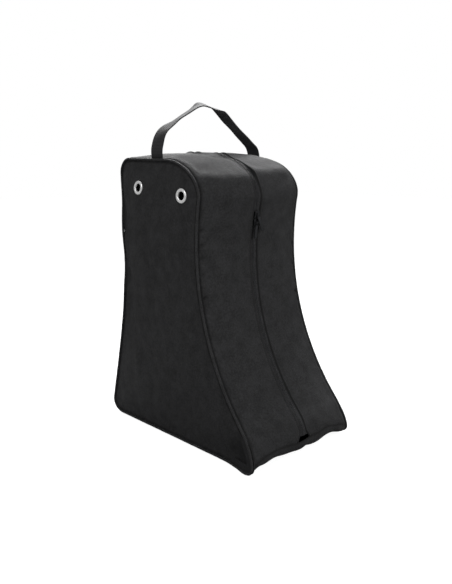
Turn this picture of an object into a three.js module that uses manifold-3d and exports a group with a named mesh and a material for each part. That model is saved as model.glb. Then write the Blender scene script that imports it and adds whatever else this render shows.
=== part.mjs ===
// Boot-shaped shoe bag with piped side panels, a two-way zip over the front and a carry handle.
// Units are millimetres. +X is the bag's width, -Y its toe, +Z up, and z = 0 is the floor.
import * as THREE from "three";
import { mergeVertices } from "three/addons/utils/BufferGeometryUtils.js";
import Module from "manifold-3d";

const wasm = await Module();
wasm.setup();

// Driving dimensions
const SEAM_X = 101.5; // middle of the bag to the piping's core
const CLOTH = 1.6; // cloth with its backing
const GAP = 0.3; // clearance between sewn pieces
const CROWN_FLAT = 0.45; // share of the half width over which a gusset or the base is flat
const PIPING_RADIUS = 1.8;
const PIPING_SINK = 1.0; // piping core below the seam line
const ZIP_FOLD_X = 5.3; // middle of the zip to a gusset's folded edge
const ZIP_SPLIT_X = 0.6; // middle of the zip to the inner edge of each half
const ZIP_TAPE_WIDTH = 12.4;
const ZIP_TAPE_DEPTH = CLOTH + GAP;
const ZIP_TAPE_THICKNESS = 0.7;
const COIL_WIDTH = 2.6;
const COIL_DEPTH = 0.1;
const COIL_THICKNESS = 1.5;
const ZIP_END = 0.1; // share of the back edge that the zip runs down

// The seam line is where a side panel meets the gusset; the middle line is the bag's section at x = 0.
// Both are drawn in the (y, z) plane with the same ten stretches, so that they pair up point by point.
const SEAM_LINE = {
  toe: [-164.5, 16],
  arcCentre: [-420, 300.4],
  arcRadius: 368.5,
  arcLowZ: 63,
  arcHighZ: 365,
  topFront: [18, 419.5],
  topBack: [104, 421],
  backTop: [125, 400],
  waist: [123, 250],
  heel: [164.5, 28],
  soleBack: [140, 4],
  soleFront: [-140, 4],
  browReach: [22, 50],
  napeReach: [13, 8],
};
const MIDDLE_LINE = {
  toe: [-167, 16],
  arcCentre: [-398, 286],
  arcRadius: 335,
  arcLowZ: 58,
  arcHighZ: 360,
  topFront: [8, 424],
  topBack: [106, 424],
  backTop: [130, 398],
  waist: [133, 250],
  heel: [167, 28],
  soleBack: [142, 0],
  soleFront: [-142, 0],
  browReach: [22, 54],
  napeReach: [15, 15],
};

// Number of flat facets along each stretch
const FACETS = { toe: 4, front: 16, brow: 8, top: 4, nape: 5, back: 8, calf: 8, heel: 5, sole: 4, toeTurn: 4 };

const FORWARD = new THREE.Vector2(-1, 0);
const BACKWARD = new THREE.Vector2(1, 0);
const UPWARD = new THREE.Vector2(0, 1);
const DOWNWARD = new THREE.Vector2(0, -1);
const HEEL_LEAN = new THREE.Vector2(0.25, -1).normalize();

const at = ([y, z]) => new THREE.Vector2(y, z);

// A smooth curve that leaves one point in a direction and reaches the next in another
function bend(from, leaving, to, arriving, [reachOut, reachIn]) {
  const control1 = from.clone().addScaledVector(leaving, reachOut);
  const control2 = to.clone().addScaledVector(arriving, -reachIn);
  return new THREE.CubicBezierCurve(from, control1, control2, to);
}

// The hollow front of the bag, from low to high on one circle
function frontArc({ arcCentre: [y, z], arcRadius, arcLowZ, arcHighZ }) {
  const low = Math.asin((arcLowZ - z) / arcRadius);
  const high = Math.asin((arcHighZ - z) / arcRadius);
  return new THREE.EllipseCurve(y, z, arcRadius, arcRadius, low, high);
}

function stretches(line) {
  const front = frontArc(line);
  const toe = at(line.toe);
  const topFront = at(line.topFront);
  const topBack = at(line.topBack);
  const backTop = at(line.backTop);
  const waist = at(line.waist);
  const heel = at(line.heel);
  const soleBack = at(line.soleBack);
  const soleFront = at(line.soleFront);
  return {
    toe: bend(toe, UPWARD, front.getPoint(0), front.getTangent(0), [15, 18]),
    front,
    brow: bend(front.getPoint(1), front.getTangent(1), topFront, BACKWARD, line.browReach),
    top: new THREE.LineCurve(topFront, topBack),
    nape: bend(topBack, BACKWARD, backTop, DOWNWARD, line.napeReach),
    back: bend(backTop, DOWNWARD, waist, DOWNWARD, [50, 50]),
    calf: bend(waist, DOWNWARD, heel, HEEL_LEAN, [60, 65]),
    heel: bend(heel, HEEL_LEAN, soleBack, FORWARD, [14, 18]),
    sole: new THREE.LineCurve(soleBack, soleFront),
    toeTurn: bend(soleFront, FORWARD, toe, UPWARD, [14, 9]),
  };
}

const seamStretches = stretches(SEAM_LINE);
const middleStretches = stretches(MIDDLE_LINE);

// Outward normal of a curve that runs up the front, over the top and down the back
const outward = (curve, t) => {
  const tangent = curve.getTangent(t);
  return new THREE.Vector2(-tangent.y, tangent.x);
};

// A station pairs a point of the seam line with its point of the middle line
function station(name, t) {
  const seam = seamStretches[name].getPoint(t);
  const middle = middleStretches[name].getPoint(t);
  const seamNormal = outward(seamStretches[name], t);
  const middleNormal = outward(middleStretches[name], t);
  return { seam, middle, seamNormal, middleNormal };
}

// Stations along a run of stretches, given as [name, from, to] with shares of each stretch
function stations(run) {
  const list = [];
  run.forEach(([name, from, to], index) => {
    const count = Math.max(1, Math.round(FACETS[name] * Math.abs(to - from)));
    for (let i = index ? 1 : 0; i <= count; i++) list.push(station(name, from + ((to - from) * i) / count));
  });
  return list;
}

const FRONT_RUN = [
  ["toe", 0, 1],
  ["front", 0, 1],
  ["brow", 0, 1],
  ["top", 0, 1],
  ["nape", 0, 1],
  ["back", 0, ZIP_END],
];
const BACK_RUN = [
  ["back", ZIP_END + 0.004, 1],
  ["calf", 0, 1],
  ["heel", 0, 1],
  ["sole", 0, 1],
  ["toeTurn", 0, 0.98],
];
const frontStations = stations(FRONT_RUN);
const backStations = stations(BACK_RUN);
// Once round a side panel, starting and ending under the sole
const loopStations = stations([["sole", 0.502, 1], ["toeTurn", 0, 1], ...FRONT_RUN.slice(0, 5), ["back", 0, 1],
  ["calf", 0, 1], ["heel", 0, 1], ["sole", 0, 0.498]]);

// How much of the way from seam line to middle line the cloth stands at a distance x from the middle
function crown(x) {
  const share = (Math.abs(x) / SEAM_X - CROWN_FLAT) / (1 - CROWN_FLAT);
  return share <= 0 ? 1 : 1 - share * share;
}

// The point of the gusset or base surface at x, sunk by a depth
function skinPoint(place, x, depth) {
  const share = crown(x);
  const point = place.seam.clone().lerp(place.middle, share);
  const normal = place.seamNormal.clone().lerp(place.middleNormal, share).normalize();
  point.addScaledVector(normal, -depth);
  return new THREE.Vector3(x, point.x, point.y);
}

function volumeOf(points, faces) {
  return faces.reduce((sum, [a, b, c]) => {
    return sum + points[a].dot(points[b].clone().cross(points[c])) / 6;
  }, 0);
}

// A closed slab between two grids of points of the same size
function slab(outer, inner) {
  const rows = outer.length;
  const columns = outer[0].length;
  const points = [...outer.flat(), ...inner.flat()];
  const top = (i, j) => i * columns + j;
  const under = (i, j) => rows * columns + top(i, j);
  const faces = [];
  const quad = (a, b, c, d) => faces.push([a, b, c], [a, c, d]);
  for (let i = 0; i < rows - 1; i++) {
    for (let j = 0; j < columns - 1; j++) {
      quad(top(i, j), top(i + 1, j), top(i + 1, j + 1), top(i, j + 1));
      quad(under(i, j), under(i, j + 1), under(i + 1, j + 1), under(i + 1, j));
    }
    quad(top(i, 0), under(i, 0), under(i + 1, 0), top(i + 1, 0));
    quad(top(i + 1, columns - 1), under(i + 1, columns - 1), under(i, columns - 1), top(i, columns - 1));
  }
  for (let j = 0; j < columns - 1; j++) {
    quad(top(0, j + 1), under(0, j + 1), under(0, j), top(0, j));
    quad(top(rows - 1, j), under(rows - 1, j), under(rows - 1, j + 1), top(rows - 1, j + 1));
  }
  const facingOut = volumeOf(points, faces) > 0 ? faces : faces.map(([a, b, c]) => [a, c, b]);
  return new THREE.BufferGeometry().setFromPoints(points).setIndex(facingOut.flat());
}

// A strip of cloth or tape that follows the bag's surface between two distances from the middle
function strip(places, xs, depth, thickness) {
  const skin = (sink) => places.map((place) => xs.map((x) => skinPoint(place, x, sink)));
  return slab(skin(depth), skin(depth + thickness));
}

// Evenly spaced numbers from one value to another
const spaced = (from, to, count) => Array.from({ length: count + 1 }, (_, i) => from + ((to - from) * i) / count);

// A path through given points, walked point by point so that a tube has one ring at each
class PointPath extends THREE.CatmullRomCurve3 {
  getUtoTmapping(u) {
    return u;
  }
}

const GUSSET_EDGE_X = SEAM_X - PIPING_RADIUS - 0.4;

function gusset(side) {
  const flatEdge = CROWN_FLAT * SEAM_X;
  const xs = [ZIP_FOLD_X, flatEdge, ...spaced(flatEdge, GUSSET_EDGE_X, 4).slice(1)];
  return strip(frontStations, xs.map((x) => side * x), 0, CLOTH);
}

function baseAndBack() {
  const half = spaced(CROWN_FLAT * SEAM_X, GUSSET_EDGE_X, 4);
  const xs = [...half.map((x) => -x).reverse(), ...half];
  return strip(backStations, xs, 0, CLOTH);
}

// The inside seam: the raw edges of panel, piping and gusset, bound with tape and standing into the bag
const BINDING = { x: 99.4, thickness: 1.6, top: 2.6, bottom: 12 };
function seamBinding(side) {
  const edge = (x) => (place) => [BINDING.top, BINDING.bottom].map((depth) => {
    const point = place.seam.clone().addScaledVector(place.seamNormal, -depth);
    return new THREE.Vector3(side * x, point.x, point.y);
  });
  const half = BINDING.thickness / 2;
  return slab(loopStations.map(edge(BINDING.x + half)), loopStations.map(edge(BINDING.x - half)));
}

const EYELETS = {
  back: [75, 378],
  front: [-23, 369.5],
};
const EYELET = { hole: 5.5, barrel: 6.2, panelHole: 6.6, flange: 10.2, segments: 20 };

function sidePanel(side) {
  const inset = PIPING_SINK + PIPING_RADIUS + 0.4;
  const outline = loopStations.map(({ seam, seamNormal }) => seam.clone().addScaledVector(seamNormal, -inset));
  const shape = new THREE.Shape(outline);
  for (const [y, z] of Object.values(EYELETS)) {
    shape.holes.push(new THREE.Path().absarc(y, z, EYELET.panelHole, 0, 2 * Math.PI));
  }
  const geometry = new THREE.ExtrudeGeometry(shape, { depth: CLOTH, bevelEnabled: false, curveSegments: 16 });
  // The shape's (y, z) becomes the bag's, and the extrusion runs along X
  geometry.applyMatrix4(new THREE.Matrix4().makeBasis(
    new THREE.Vector3(0, 1, 0), new THREE.Vector3(0, 0, 1), new THREE.Vector3(1, 0, 0)));
  return geometry.translate(side * SEAM_X - CLOTH / 2, 0, 0);
}

function pipingPath(side) {
  return new PointPath(loopStations.map(({ seam, seamNormal }) => {
    const core = seam.clone().addScaledVector(seamNormal, -PIPING_SINK);
    return new THREE.Vector3(side * SEAM_X, core.x, core.y);
  }));
}

function tubeAlong(path, radius, boreRadius) {
  const section = new THREE.Shape().absarc(0, 0, radius, 0, 2 * Math.PI);
  if (boreRadius) section.holes.push(new THREE.Path().absarc(0, 0, boreRadius, 0, 2 * Math.PI, true));
  const options = { steps: path.points.length - 1, bevelEnabled: false, extrudePath: path, curveSegments: 3 };
  return new THREE.ExtrudeGeometry(section, options);
}

const CORD_RADIUS = 0.8;
const pipingCover = (side) => tubeAlong(pipingPath(side), PIPING_RADIUS, CORD_RADIUS + GAP);
const pipingCord = (side) => tubeAlong(pipingPath(side), CORD_RADIUS);

function zipTape(side) {
  const xs = [ZIP_SPLIT_X, ZIP_SPLIT_X + ZIP_TAPE_WIDTH].map((x) => side * x);
  return strip(frontStations, xs, ZIP_TAPE_DEPTH, ZIP_TAPE_THICKNESS);
}

function zipCoil(side) {
  const xs = [ZIP_SPLIT_X, ZIP_SPLIT_X + COIL_WIDTH].map((x) => side * x);
  return strip(frontStations, xs, COIL_DEPTH, COIL_THICKNESS);
}

// Closed solid of any three.js geometry, for booleans
function solid(geometry) {
  const bare = new THREE.BufferGeometry().setAttribute("position",
    (geometry.index ? geometry.toNonIndexed() : geometry).getAttribute("position"));
  const merged = mergeVertices(bare, 1e-3);
  return new wasm.Manifold(new wasm.Mesh({
    numProp: 3,
    vertProperties: merged.attributes.position.array,
    triVerts: new Uint32Array(merged.index.array),
  }));
}

function geometryOf(body) {
  const mesh = body.getMesh();
  return new THREE.BufferGeometry()
    .setAttribute("position", new THREE.BufferAttribute(new Float32Array(mesh.vertProperties), 3))
    .setIndex(new THREE.BufferAttribute(new Uint32Array(mesh.triVerts), 1));
}

// A block given by its lowest and highest corner
function block([x0, y0, z0], [x1, y1, z1]) {
  const box = new THREE.BoxGeometry(x1 - x0, y1 - y0, z1 - z0);
  return solid(box.translate((x0 + x1) / 2, (y0 + y1) / 2, (z0 + z1) / 2));
}

// A zip slider in its own frame: x across the zip, y up along it, z out of the bag
const SLIDER = { length: 11.6, halfWidth: 4.7, plate: [0.3, 1.6], wing: [-1.5, 3.5], under: [-4.2, -2.9] };
const BAIL = { halfWidth: 0.45, inner: 1.9, outer: 2.7, clear: 4.0, top: 4.9 };
const PIVOT_OUT = 3.15; // puller's pivot above the zip's surface
function sliderBody(nose) {
  const half = SLIDER.length / 2;
  const [plateLow, plateHigh] = SLIDER.plate;
  const [wingLow, wingX] = SLIDER.wing;
  const w = SLIDER.halfWidth;
  const b = BAIL;
  return geometryOf([
    block([-w, -half, plateLow], [w, half, plateHigh]),
    block([-w, -half, wingLow], [-wingX, half, plateLow + 0.1]),
    block([wingX, -half, wingLow], [w, half, plateLow + 0.1]),
    block([-w, -half, SLIDER.under[0]], [w, half, SLIDER.under[1]]),
    nose > 0
      ? block([-0.3, 1.5, SLIDER.under[0] + 0.1], [0.3, half, plateLow + 0.1])
      : block([-0.3, -half, SLIDER.under[0] + 0.1], [0.3, -1.5, plateLow + 0.1]),
    block([-b.halfWidth, b.inner, plateHigh - 0.1], [b.halfWidth, b.outer, b.top]),
    block([-b.halfWidth, -b.outer, plateHigh - 0.1], [b.halfWidth, -b.inner, b.top]),
    block([-b.halfWidth, -b.outer, b.clear], [b.halfWidth, b.outer, b.top]),
  ].reduce((sum, piece) => sum.add(piece)));
}

// Places on the zip's front circle, by angle above its centre
const ZIP_CENTRE = at(MIDDLE_LINE.arcCentre);
const ZIP_RADIUS = MIDDLE_LINE.arcRadius;
const UPPER_SLIDER_Z = 341;
const SLIDER_PITCH = SLIDER.length + 0.8; // the two sliders stand nose to nose
const UPPER_ANGLE = Math.asin((UPPER_SLIDER_Z - ZIP_CENTRE.y) / ZIP_RADIUS);
const LOWER_ANGLE = UPPER_ANGLE - SLIDER_PITCH / ZIP_RADIUS;

function zipFrame(angle) {
  const up = new THREE.Vector3(0, -Math.sin(angle), Math.cos(angle));
  const out = new THREE.Vector3(0, -Math.cos(angle), -Math.sin(angle));
  const place = ZIP_CENTRE.clone().add(new THREE.Vector2(Math.cos(angle), Math.sin(angle)).multiplyScalar(ZIP_RADIUS));
  return new THREE.Matrix4()
    .makeBasis(new THREE.Vector3(1, 0, 0), up, out)
    .setPosition(0, place.x, place.y);
}

const slider = (angle, nose) => sliderBody(nose).applyMatrix4(zipFrame(angle));

// A flat pull tab hanging from the bail. Its eye frames the bail, with a crossbar under it on the pivot.
const PULLER = { thickness: 1.0, eyeHalf: 2.3, holeHalf: 1.6, bar: 0.5, holeEnd: 3.6, endHalf: 2.7 };
function puller(angle, length, lean) {
  const p = PULLER;
  const roundStart = p.endHalf - length;
  const shape = new THREE.Shape()
    .moveTo(-p.eyeHalf, p.bar)
    .lineTo(-p.eyeHalf, -p.holeEnd - 2)
    .lineTo(-p.endHalf, roundStart)
    .absarc(0, roundStart, p.endHalf, Math.PI, 2 * Math.PI)
    .lineTo(p.eyeHalf, -p.holeEnd - 2)
    .lineTo(p.eyeHalf, p.bar);
  shape.holes.push(new THREE.Path()
    .moveTo(-p.holeHalf, -p.bar)
    .lineTo(p.holeHalf, -p.bar)
    .lineTo(p.holeHalf, -p.holeEnd)
    .lineTo(-p.holeHalf, -p.holeEnd));
  const tab = new THREE.ExtrudeGeometry(shape, { depth: p.thickness, bevelEnabled: false, curveSegments: 8 });
  tab.translate(0, 0, -p.thickness / 2);
  tab.rotateX(Math.PI / 2);
  tab.rotateY(-lean);
  const pivot = new THREE.Vector3(0, 0, PIVOT_OUT).applyMatrix4(zipFrame(angle));
  return tab.translate(pivot.x, pivot.y, pivot.z);
}

// Lathe about the X axis of a ring section given as [radius, x], placed on a side panel
function ring(section, side, [y, z]) {
  const profile = [...section, section[0]].map(([radius, x]) => new THREE.Vector2(radius, x));
  const geometry = new THREE.LatheGeometry(profile, EYELET.segments);
  geometry.rotateZ((-side * Math.PI) / 2);
  return geometry.translate(side * SEAM_X, y, z);
}

const PANEL_FACE = CLOTH / 2; // side panel's face from its middle
function eyelet(side, place) {
  const face = PANEL_FACE + GAP;
  return ring([
    [EYELET.barrel, -2.4],
    [EYELET.barrel, face],
    [EYELET.flange, face],
    [EYELET.flange - 0.6, face + 0.7],
    [8, face + 1.3],
    [6.3, face + 1.1],
    [EYELET.hole, face],
    [EYELET.hole, -2.4],
  ], side, place);
}

function washer(side, place) {
  const face = -PANEL_FACE - GAP;
  return ring([
    [EYELET.barrel + GAP, face - 0.8],
    [EYELET.flange - 0.4, face - 0.8],
    [EYELET.flange - 0.4, face],
    [EYELET.barrel + GAP, face],
  ], side, place);
}

// Webbing handle, arched over the bag in the plane y = HANDLE.y
const HANDLE = { y: 36, halfWidth: 12.5, thickness: 2, pivotZ: 434.4 };
const HANDLE_LINE = [
  [-100.8, 421.9],
  [-99.5, 438],
  [-88, 460],
  [-53, 482],
  [-12, 499],
  [15, 492],
  [44, 472.5],
  [82, 447],
  [95, 437],
  [100.8, 421.9],
];
const HANDLE_FACETS = 44;

function carryHandle() {
  const path = new THREE.CatmullRomCurve3(HANDLE_LINE.map(([x, z]) => new THREE.Vector3(x, 0, z)));
  const rows = [[], []];
  for (let i = 0; i <= HANDLE_FACETS; i++) {
    const point = path.getPointAt(i / HANDLE_FACETS);
    const tangent = path.getTangentAt(i / HANDLE_FACETS);
    // The ends are rounded about the line on which the handle folds
    const below = Math.min(Math.max(HANDLE.pivotZ - point.z, 0), HANDLE.halfWidth - 0.2);
    const halfWidth = Math.sqrt(HANDLE.halfWidth ** 2 - below ** 2);
    for (const [row, side] of [[rows[0], 1], [rows[1], -1]]) {
      const shift = (side * HANDLE.thickness) / 2;
      row.push([-halfWidth, halfWidth].map((y) =>
        new THREE.Vector3(point.x - tangent.z * shift, HANDLE.y + y, point.z + tangent.x * shift)));
    }
  }
  return slab(...rows);
}

// The handle's end, caught inside the side seam
const TAIL = { x: 97.2, thickness: 1.6, low: 392, high: 417.4 };
function handleTail(side) {
  const height = TAIL.high - TAIL.low;
  return new THREE.BoxGeometry(TAIL.thickness, 2 * HANDLE.halfWidth, height)
    .translate(side * TAIL.x, HANDLE.y, TAIL.low + height / 2);
}

const COLOURS = { cloth: 0x1c1c1f, piping: 0x18181a, webbing: 0x2a2a2c, tape: 0x151517, coil: 0x202022,
  metal: 0x54565a, silver: 0xc4c6c8, cord: 0xb8b6ae };

const bag = new THREE.Group();
function add(name, geometry, colour) {
  const metal = colour === COLOURS.silver || colour === COLOURS.metal;
  const material = new THREE.MeshStandardMaterial({ color: colour, roughness: metal ? 0.35 : 0.85,
    metalness: metal ? 1 : 0 });
  const mesh = new THREE.Mesh(geometry, material);
  mesh.name = name;
  bag.add(mesh);
}

for (const [side, sideName] of [[-1, "left"], [1, "right"]]) {
  add(sideName + "_side_panel", sidePanel(side), COLOURS.cloth);
  add(sideName + "_gusset", gusset(side), COLOURS.cloth);
  add(sideName + "_piping_cover", pipingCover(side), COLOURS.piping);
  add(sideName + "_piping_cord", pipingCord(side), COLOURS.cord);
  add(sideName + "_seam_binding", seamBinding(side), COLOURS.tape);
  add(sideName + "_zip_tape", zipTape(side), COLOURS.tape);
  add(sideName + "_zip_coil", zipCoil(side), COLOURS.coil);
  add(sideName + "_handle_tail", handleTail(side), COLOURS.webbing);
  for (const [place, spot] of Object.entries(EYELETS)) {
    add(`${sideName}_${place}_eyelet`, eyelet(side, spot), COLOURS.silver);
    add(`${sideName}_${place}_washer`, washer(side, spot), COLOURS.silver);
  }
}
add("base_and_back_panel", baseAndBack(), COLOURS.cloth);
add("carry_handle", carryHandle(), COLOURS.webbing);
add("upper_zip_slider", slider(UPPER_ANGLE, -1), COLOURS.metal);
add("lower_zip_slider", slider(LOWER_ANGLE, 1), COLOURS.metal);
add("upper_zip_puller", puller(UPPER_ANGLE, 27, THREE.MathUtils.degToRad(24)), COLOURS.metal);
add("lower_zip_puller", puller(LOWER_ANGLE, 23, THREE.MathUtils.degToRad(-8)), COLOURS.metal);

export default bag;
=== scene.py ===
# %% [markdown]
# # A boot-shaped shoe bag
# The bag is cut from black coated polyester. Two boot-shaped side panels stand on either side, a long strip
# runs up the front and over the top in two halves with a zip between them, and a second strip makes the base
# and the back. Piping is sewn into both side seams, four metal eyelets let air in, and a webbing handle is
# caught in the top of the side seams.
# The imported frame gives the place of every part. Each cell below makes one kind of part over it.

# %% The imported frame
import math

import bmesh
import bpy
import numpy as np
from mathutils import Matrix, Vector, noise


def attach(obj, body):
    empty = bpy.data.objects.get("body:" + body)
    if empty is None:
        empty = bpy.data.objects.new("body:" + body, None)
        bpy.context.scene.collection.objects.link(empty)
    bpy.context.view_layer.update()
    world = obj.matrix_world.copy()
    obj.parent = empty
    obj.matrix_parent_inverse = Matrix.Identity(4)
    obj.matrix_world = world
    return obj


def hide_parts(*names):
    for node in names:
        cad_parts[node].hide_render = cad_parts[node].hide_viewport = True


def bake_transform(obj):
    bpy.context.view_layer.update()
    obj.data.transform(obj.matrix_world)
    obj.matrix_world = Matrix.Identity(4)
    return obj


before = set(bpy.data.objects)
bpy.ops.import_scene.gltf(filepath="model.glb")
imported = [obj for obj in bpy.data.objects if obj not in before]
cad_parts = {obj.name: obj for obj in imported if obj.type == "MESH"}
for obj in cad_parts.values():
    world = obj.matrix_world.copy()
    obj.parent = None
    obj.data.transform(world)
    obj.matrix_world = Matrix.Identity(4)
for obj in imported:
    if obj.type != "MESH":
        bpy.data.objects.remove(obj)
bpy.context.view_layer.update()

MM = 0.001
print("frame nodes:", len(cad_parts))

# %% [markdown]
# ## The two lines that shape the bag
# Two curves in the plane of the bag's side give its whole form: the seam line, where a side panel meets the
# strips, and the middle line, which is the bag's section at the zip. The front of each is one hollow circle,
# so that a zip slider can follow it. The strips could be sculpted freely, but two lines keep every seam, zip
# tooth and stitch on the same surface. They are given in millimetres as (y, z).

# %% Seam line and middle line
SEAM_X = 101.5  # middle of the bag to the piping's core
CLOTH = 1.2  # cloth thickness as it shows at an edge
CROWN_FLAT = 0.45  # share of the half width over which a strip stands at full height
ZIP_FOLD_X = 5.3  # middle of the zip to the folded edge of the cloth
ZIP_END = 0.1  # share of the back edge that the zip runs down

SEAM_LINE = dict(
    toe=(-164.5, 16), arc_centre=(-420, 300.4), arc_radius=368.5, arc_low=63, arc_high=365,
    top_front=(18, 419.5), top_back=(104, 421), back_top=(125, 400), waist=(123, 250), heel=(164.5, 28),
    sole_back=(140, 4), sole_front=(-140, 4), brow_reach=(22, 50), nape_reach=(13, 8))
MIDDLE_LINE = dict(
    toe=(-167, 16), arc_centre=(-398, 286), arc_radius=335, arc_low=58, arc_high=360,
    top_front=(8, 424), top_back=(106, 424), back_top=(130, 398), waist=(133, 250), heel=(167, 28),
    sole_back=(142, 0), sole_front=(-142, 0), brow_reach=(22, 54), nape_reach=(15, 15))

FORWARD, BACKWARD, UPWARD, DOWNWARD = (-1, 0), (1, 0), (0, 1), (0, -1)
HEEL_LEAN = tuple(np.array((0.25, -1)) / math.hypot(0.25, 1))  # down and a little backward
# How far the direction at each end of a bend holds, mm
TOE_REACH, BACK_REACH, CALF_REACH, HEEL_REACH, TURN_REACH = (15, 18), (50, 50), (60, 65), (14, 18), (14, 9)


def bend(start, leaving, end, arriving, reach):
    """A smooth curve that leaves one point in a direction and reaches the next in another."""
    p0, p3 = np.array(start, float), np.array(end, float)
    p1 = p0 + reach[0] * np.array(leaving)
    p2 = p3 - reach[1] * np.array(arriving)

    def curve(t):
        t = np.asarray(t, float)[..., None]
        s = 1 - t
        return s**3 * p0 + 3 * s * s * t * p1 + 3 * s * t * t * p2 + t**3 * p3
    return curve


def straight(start, end):
    """A straight line from one point to the next."""
    p0, p1 = np.array(start, float), np.array(end, float)
    return lambda t: p0 + np.asarray(t, float)[..., None] * (p1 - p0)


def front_circle(line):
    """The hollow front, with its end points and the directions in which it starts and ends."""
    centre, radius = np.array(line["arc_centre"], float), line["arc_radius"]
    low = math.asin((line["arc_low"] - centre[1]) / radius)
    high = math.asin((line["arc_high"] - centre[1]) / radius)

    def curve(t):
        angle = low + (high - low) * np.asarray(t, float)
        return centre + radius * np.stack([np.cos(angle), np.sin(angle)], -1)
    return curve, (-math.sin(low), math.cos(low)), (-math.sin(high), math.cos(high))


def stretches(line):
    """The named curves that make up one line, from the toe round to the toe again."""
    front, leaving, arriving = front_circle(line)
    return {
        "toe": bend(line["toe"], UPWARD, front(0), leaving, TOE_REACH),
        "front": front,
        "brow": bend(front(1), arriving, line["top_front"], BACKWARD, line["brow_reach"]),
        "top": straight(line["top_front"], line["top_back"]),
        "nape": bend(line["top_back"], BACKWARD, line["back_top"], DOWNWARD, line["nape_reach"]),
        "back": bend(line["back_top"], DOWNWARD, line["waist"], DOWNWARD, BACK_REACH),
        "calf": bend(line["waist"], DOWNWARD, line["heel"], HEEL_LEAN, CALF_REACH),
        "heel": bend(line["heel"], HEEL_LEAN, line["sole_back"], FORWARD, HEEL_REACH),
        "sole": straight(line["sole_back"], line["sole_front"]),
        "toe_turn": bend(line["sole_front"], FORWARD, line["toe"], UPWARD, TURN_REACH),
    }


SEAM, MIDDLE = stretches(SEAM_LINE), stretches(MIDDLE_LINE)
FRONT_RUN = [(name, 0, 1) for name in ("toe", "front", "brow", "top", "nape")] + [("back", 0, ZIP_END)]
BACK_RUN = [("back", ZIP_END, 1)] + [(name, 0, 1) for name in ("calf", "heel", "sole", "toe_turn")]
LOOP_RUN = [*FRONT_RUN[:5], ("back", 0, 1), *BACK_RUN[1:]]
DENSE = 60  # points along each stretch before the run is spaced out evenly
STRIP_STEP, BACK_STEP = 2.5, 3.0  # distance between rows of a grid, mm


def walk(run, step):
    """Matched points of both lines every step mm along a run, with outward normals and lengths."""
    seam, middle = [], []
    for name, start, end in run:
        t = np.linspace(start, end, DENSE)
        seam.append(SEAM[name](t))
        middle.append(MIDDLE[name](t))
    seam, middle = np.concatenate(seam), np.concatenate(middle)
    length = np.concatenate([[0], np.cumsum(np.linalg.norm(np.diff(seam, axis=0), axis=1))])
    places = np.linspace(0, length[-1], int(length[-1] / step) + 1)
    even = [np.stack([np.interp(places, length, line[:, k]) for k in (0, 1)], 1) for line in (seam, middle)]
    normals = []
    for line in even:
        tangent = np.gradient(line, axis=0)
        tangent /= np.linalg.norm(tangent, axis=1)[:, None]
        normals.append(np.stack([-tangent[:, 1], tangent[:, 0]], 1))
    return dict(seam=even[0], middle=even[1], seam_normal=normals[0], middle_normal=normals[1], length=places)


def crown(x):
    """How much of the way from the seam line to the middle line the cloth stands at x."""
    share = np.clip((np.abs(x) / SEAM_X - CROWN_FLAT) / (1 - CROWN_FLAT), 0, 1)
    return 1 - share * share


front_walk = walk(FRONT_RUN, STRIP_STEP)
back_walk = walk(BACK_RUN, BACK_STEP)
loop_walk = walk(LOOP_RUN, STRIP_STEP)
print("front strip %.0f mm, back strip %.0f mm" % (front_walk["length"][-1], back_walk["length"][-1]))

# %% [markdown]
# ## How the cloth lies
# Coated polyester holds its shape but is never flat: it swells a little between seams, ripples where
# thread draws it up, and waves along a zip, whose tape doesn't stretch. Smooth noise gives the slow swell,
# and short waves that die out away from a seam give the puckers. A cloth simulation is another way, and
# was not run here. Heights over a smooth surface were chosen because they keep every seam exactly where it
# was cut.

# %% Noise, fading and the toe corners
def swell(points, scale, seed):
    """Slow noise between -1 and 1 at points in mm."""
    shift = Vector((seed * 17.3, seed * 5.1, seed * 9.7))
    flat = points.reshape(-1, 3) / scale
    values = [noise.noise(Vector(point) + shift) for point in flat]
    return np.array(values).reshape(points.shape[:-1])


# The groove beside the piping: its middle from the seam line, half its width, and its depth, mm
GROOVE_AT, GROOVE_HALF, GROOVE_DEPTH = 2.8, 1.5, 3.1


def fade(distance, reach):
    """1 at a seam, falling smoothly to 0 a few reaches away."""
    return np.exp(-np.square(distance / reach))


def window(value, low, high, soft):
    """1 between low and high, with soft ends."""
    rise = 1 / (1 + np.exp(-(value - low) / soft))
    fall = 1 / (1 + np.exp((value - high) / soft))
    return rise * fall


CORNER_YZ = (-162.0, 6.0)
CORNER_REACH = 30  # how far round a toe corner the cloth is pulled out of shape, mm
CORNER_PULL = {-1: (-7.0, -4.5, -3.0), 1: (2.5, -1.5, -1.5)}


def toe_corners(points):
    """The toe corners take the weight of the bag, so they spread outward and down to the floor."""
    moved = points.copy()
    for side, pull in CORNER_PULL.items():
        corner = np.array((side * SEAM_X, *CORNER_YZ))
        share = fade(np.linalg.norm(points - corner, axis=-1), CORNER_REACH)
        moved = moved + share[..., None] * np.array(pull)
    moved[..., 2] = np.where(points[..., 2] >= 0, np.maximum(moved[..., 2], 0), moved[..., 2])
    return moved


BASE_SEAM_Z = 16  # height at which the strips meet in the cut pattern
FRONT_START, FRONT_BLEND = 105, 35  # the front of the bag starts here, and counts fully this much further on
SEAM_RISE, SEAM_RISE_HALF = 8.0, 14  # how far the filled bag lifts the base seam, and the cloth beside it
HOLLOW_TOP = 13  # height over the floor at which the hollows fade out
# Unevenness of the base seam and hollows under it: place across the bag, half width and height, mm
SEAM_BUMPS = [(52, 14, 4.0), (-10, 22, -2.5)]
FRONT_HOLLOWS = [(-62, 31, 6.0), (-87, 9, 2.0), (12, 9, 3.0), (75, 15, 4.5)]


def bumps(x, spots):
    """The sum of rounded bumps across the bag."""
    return sum(height * fade(x - place, half) for place, half, height in spots)


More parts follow.
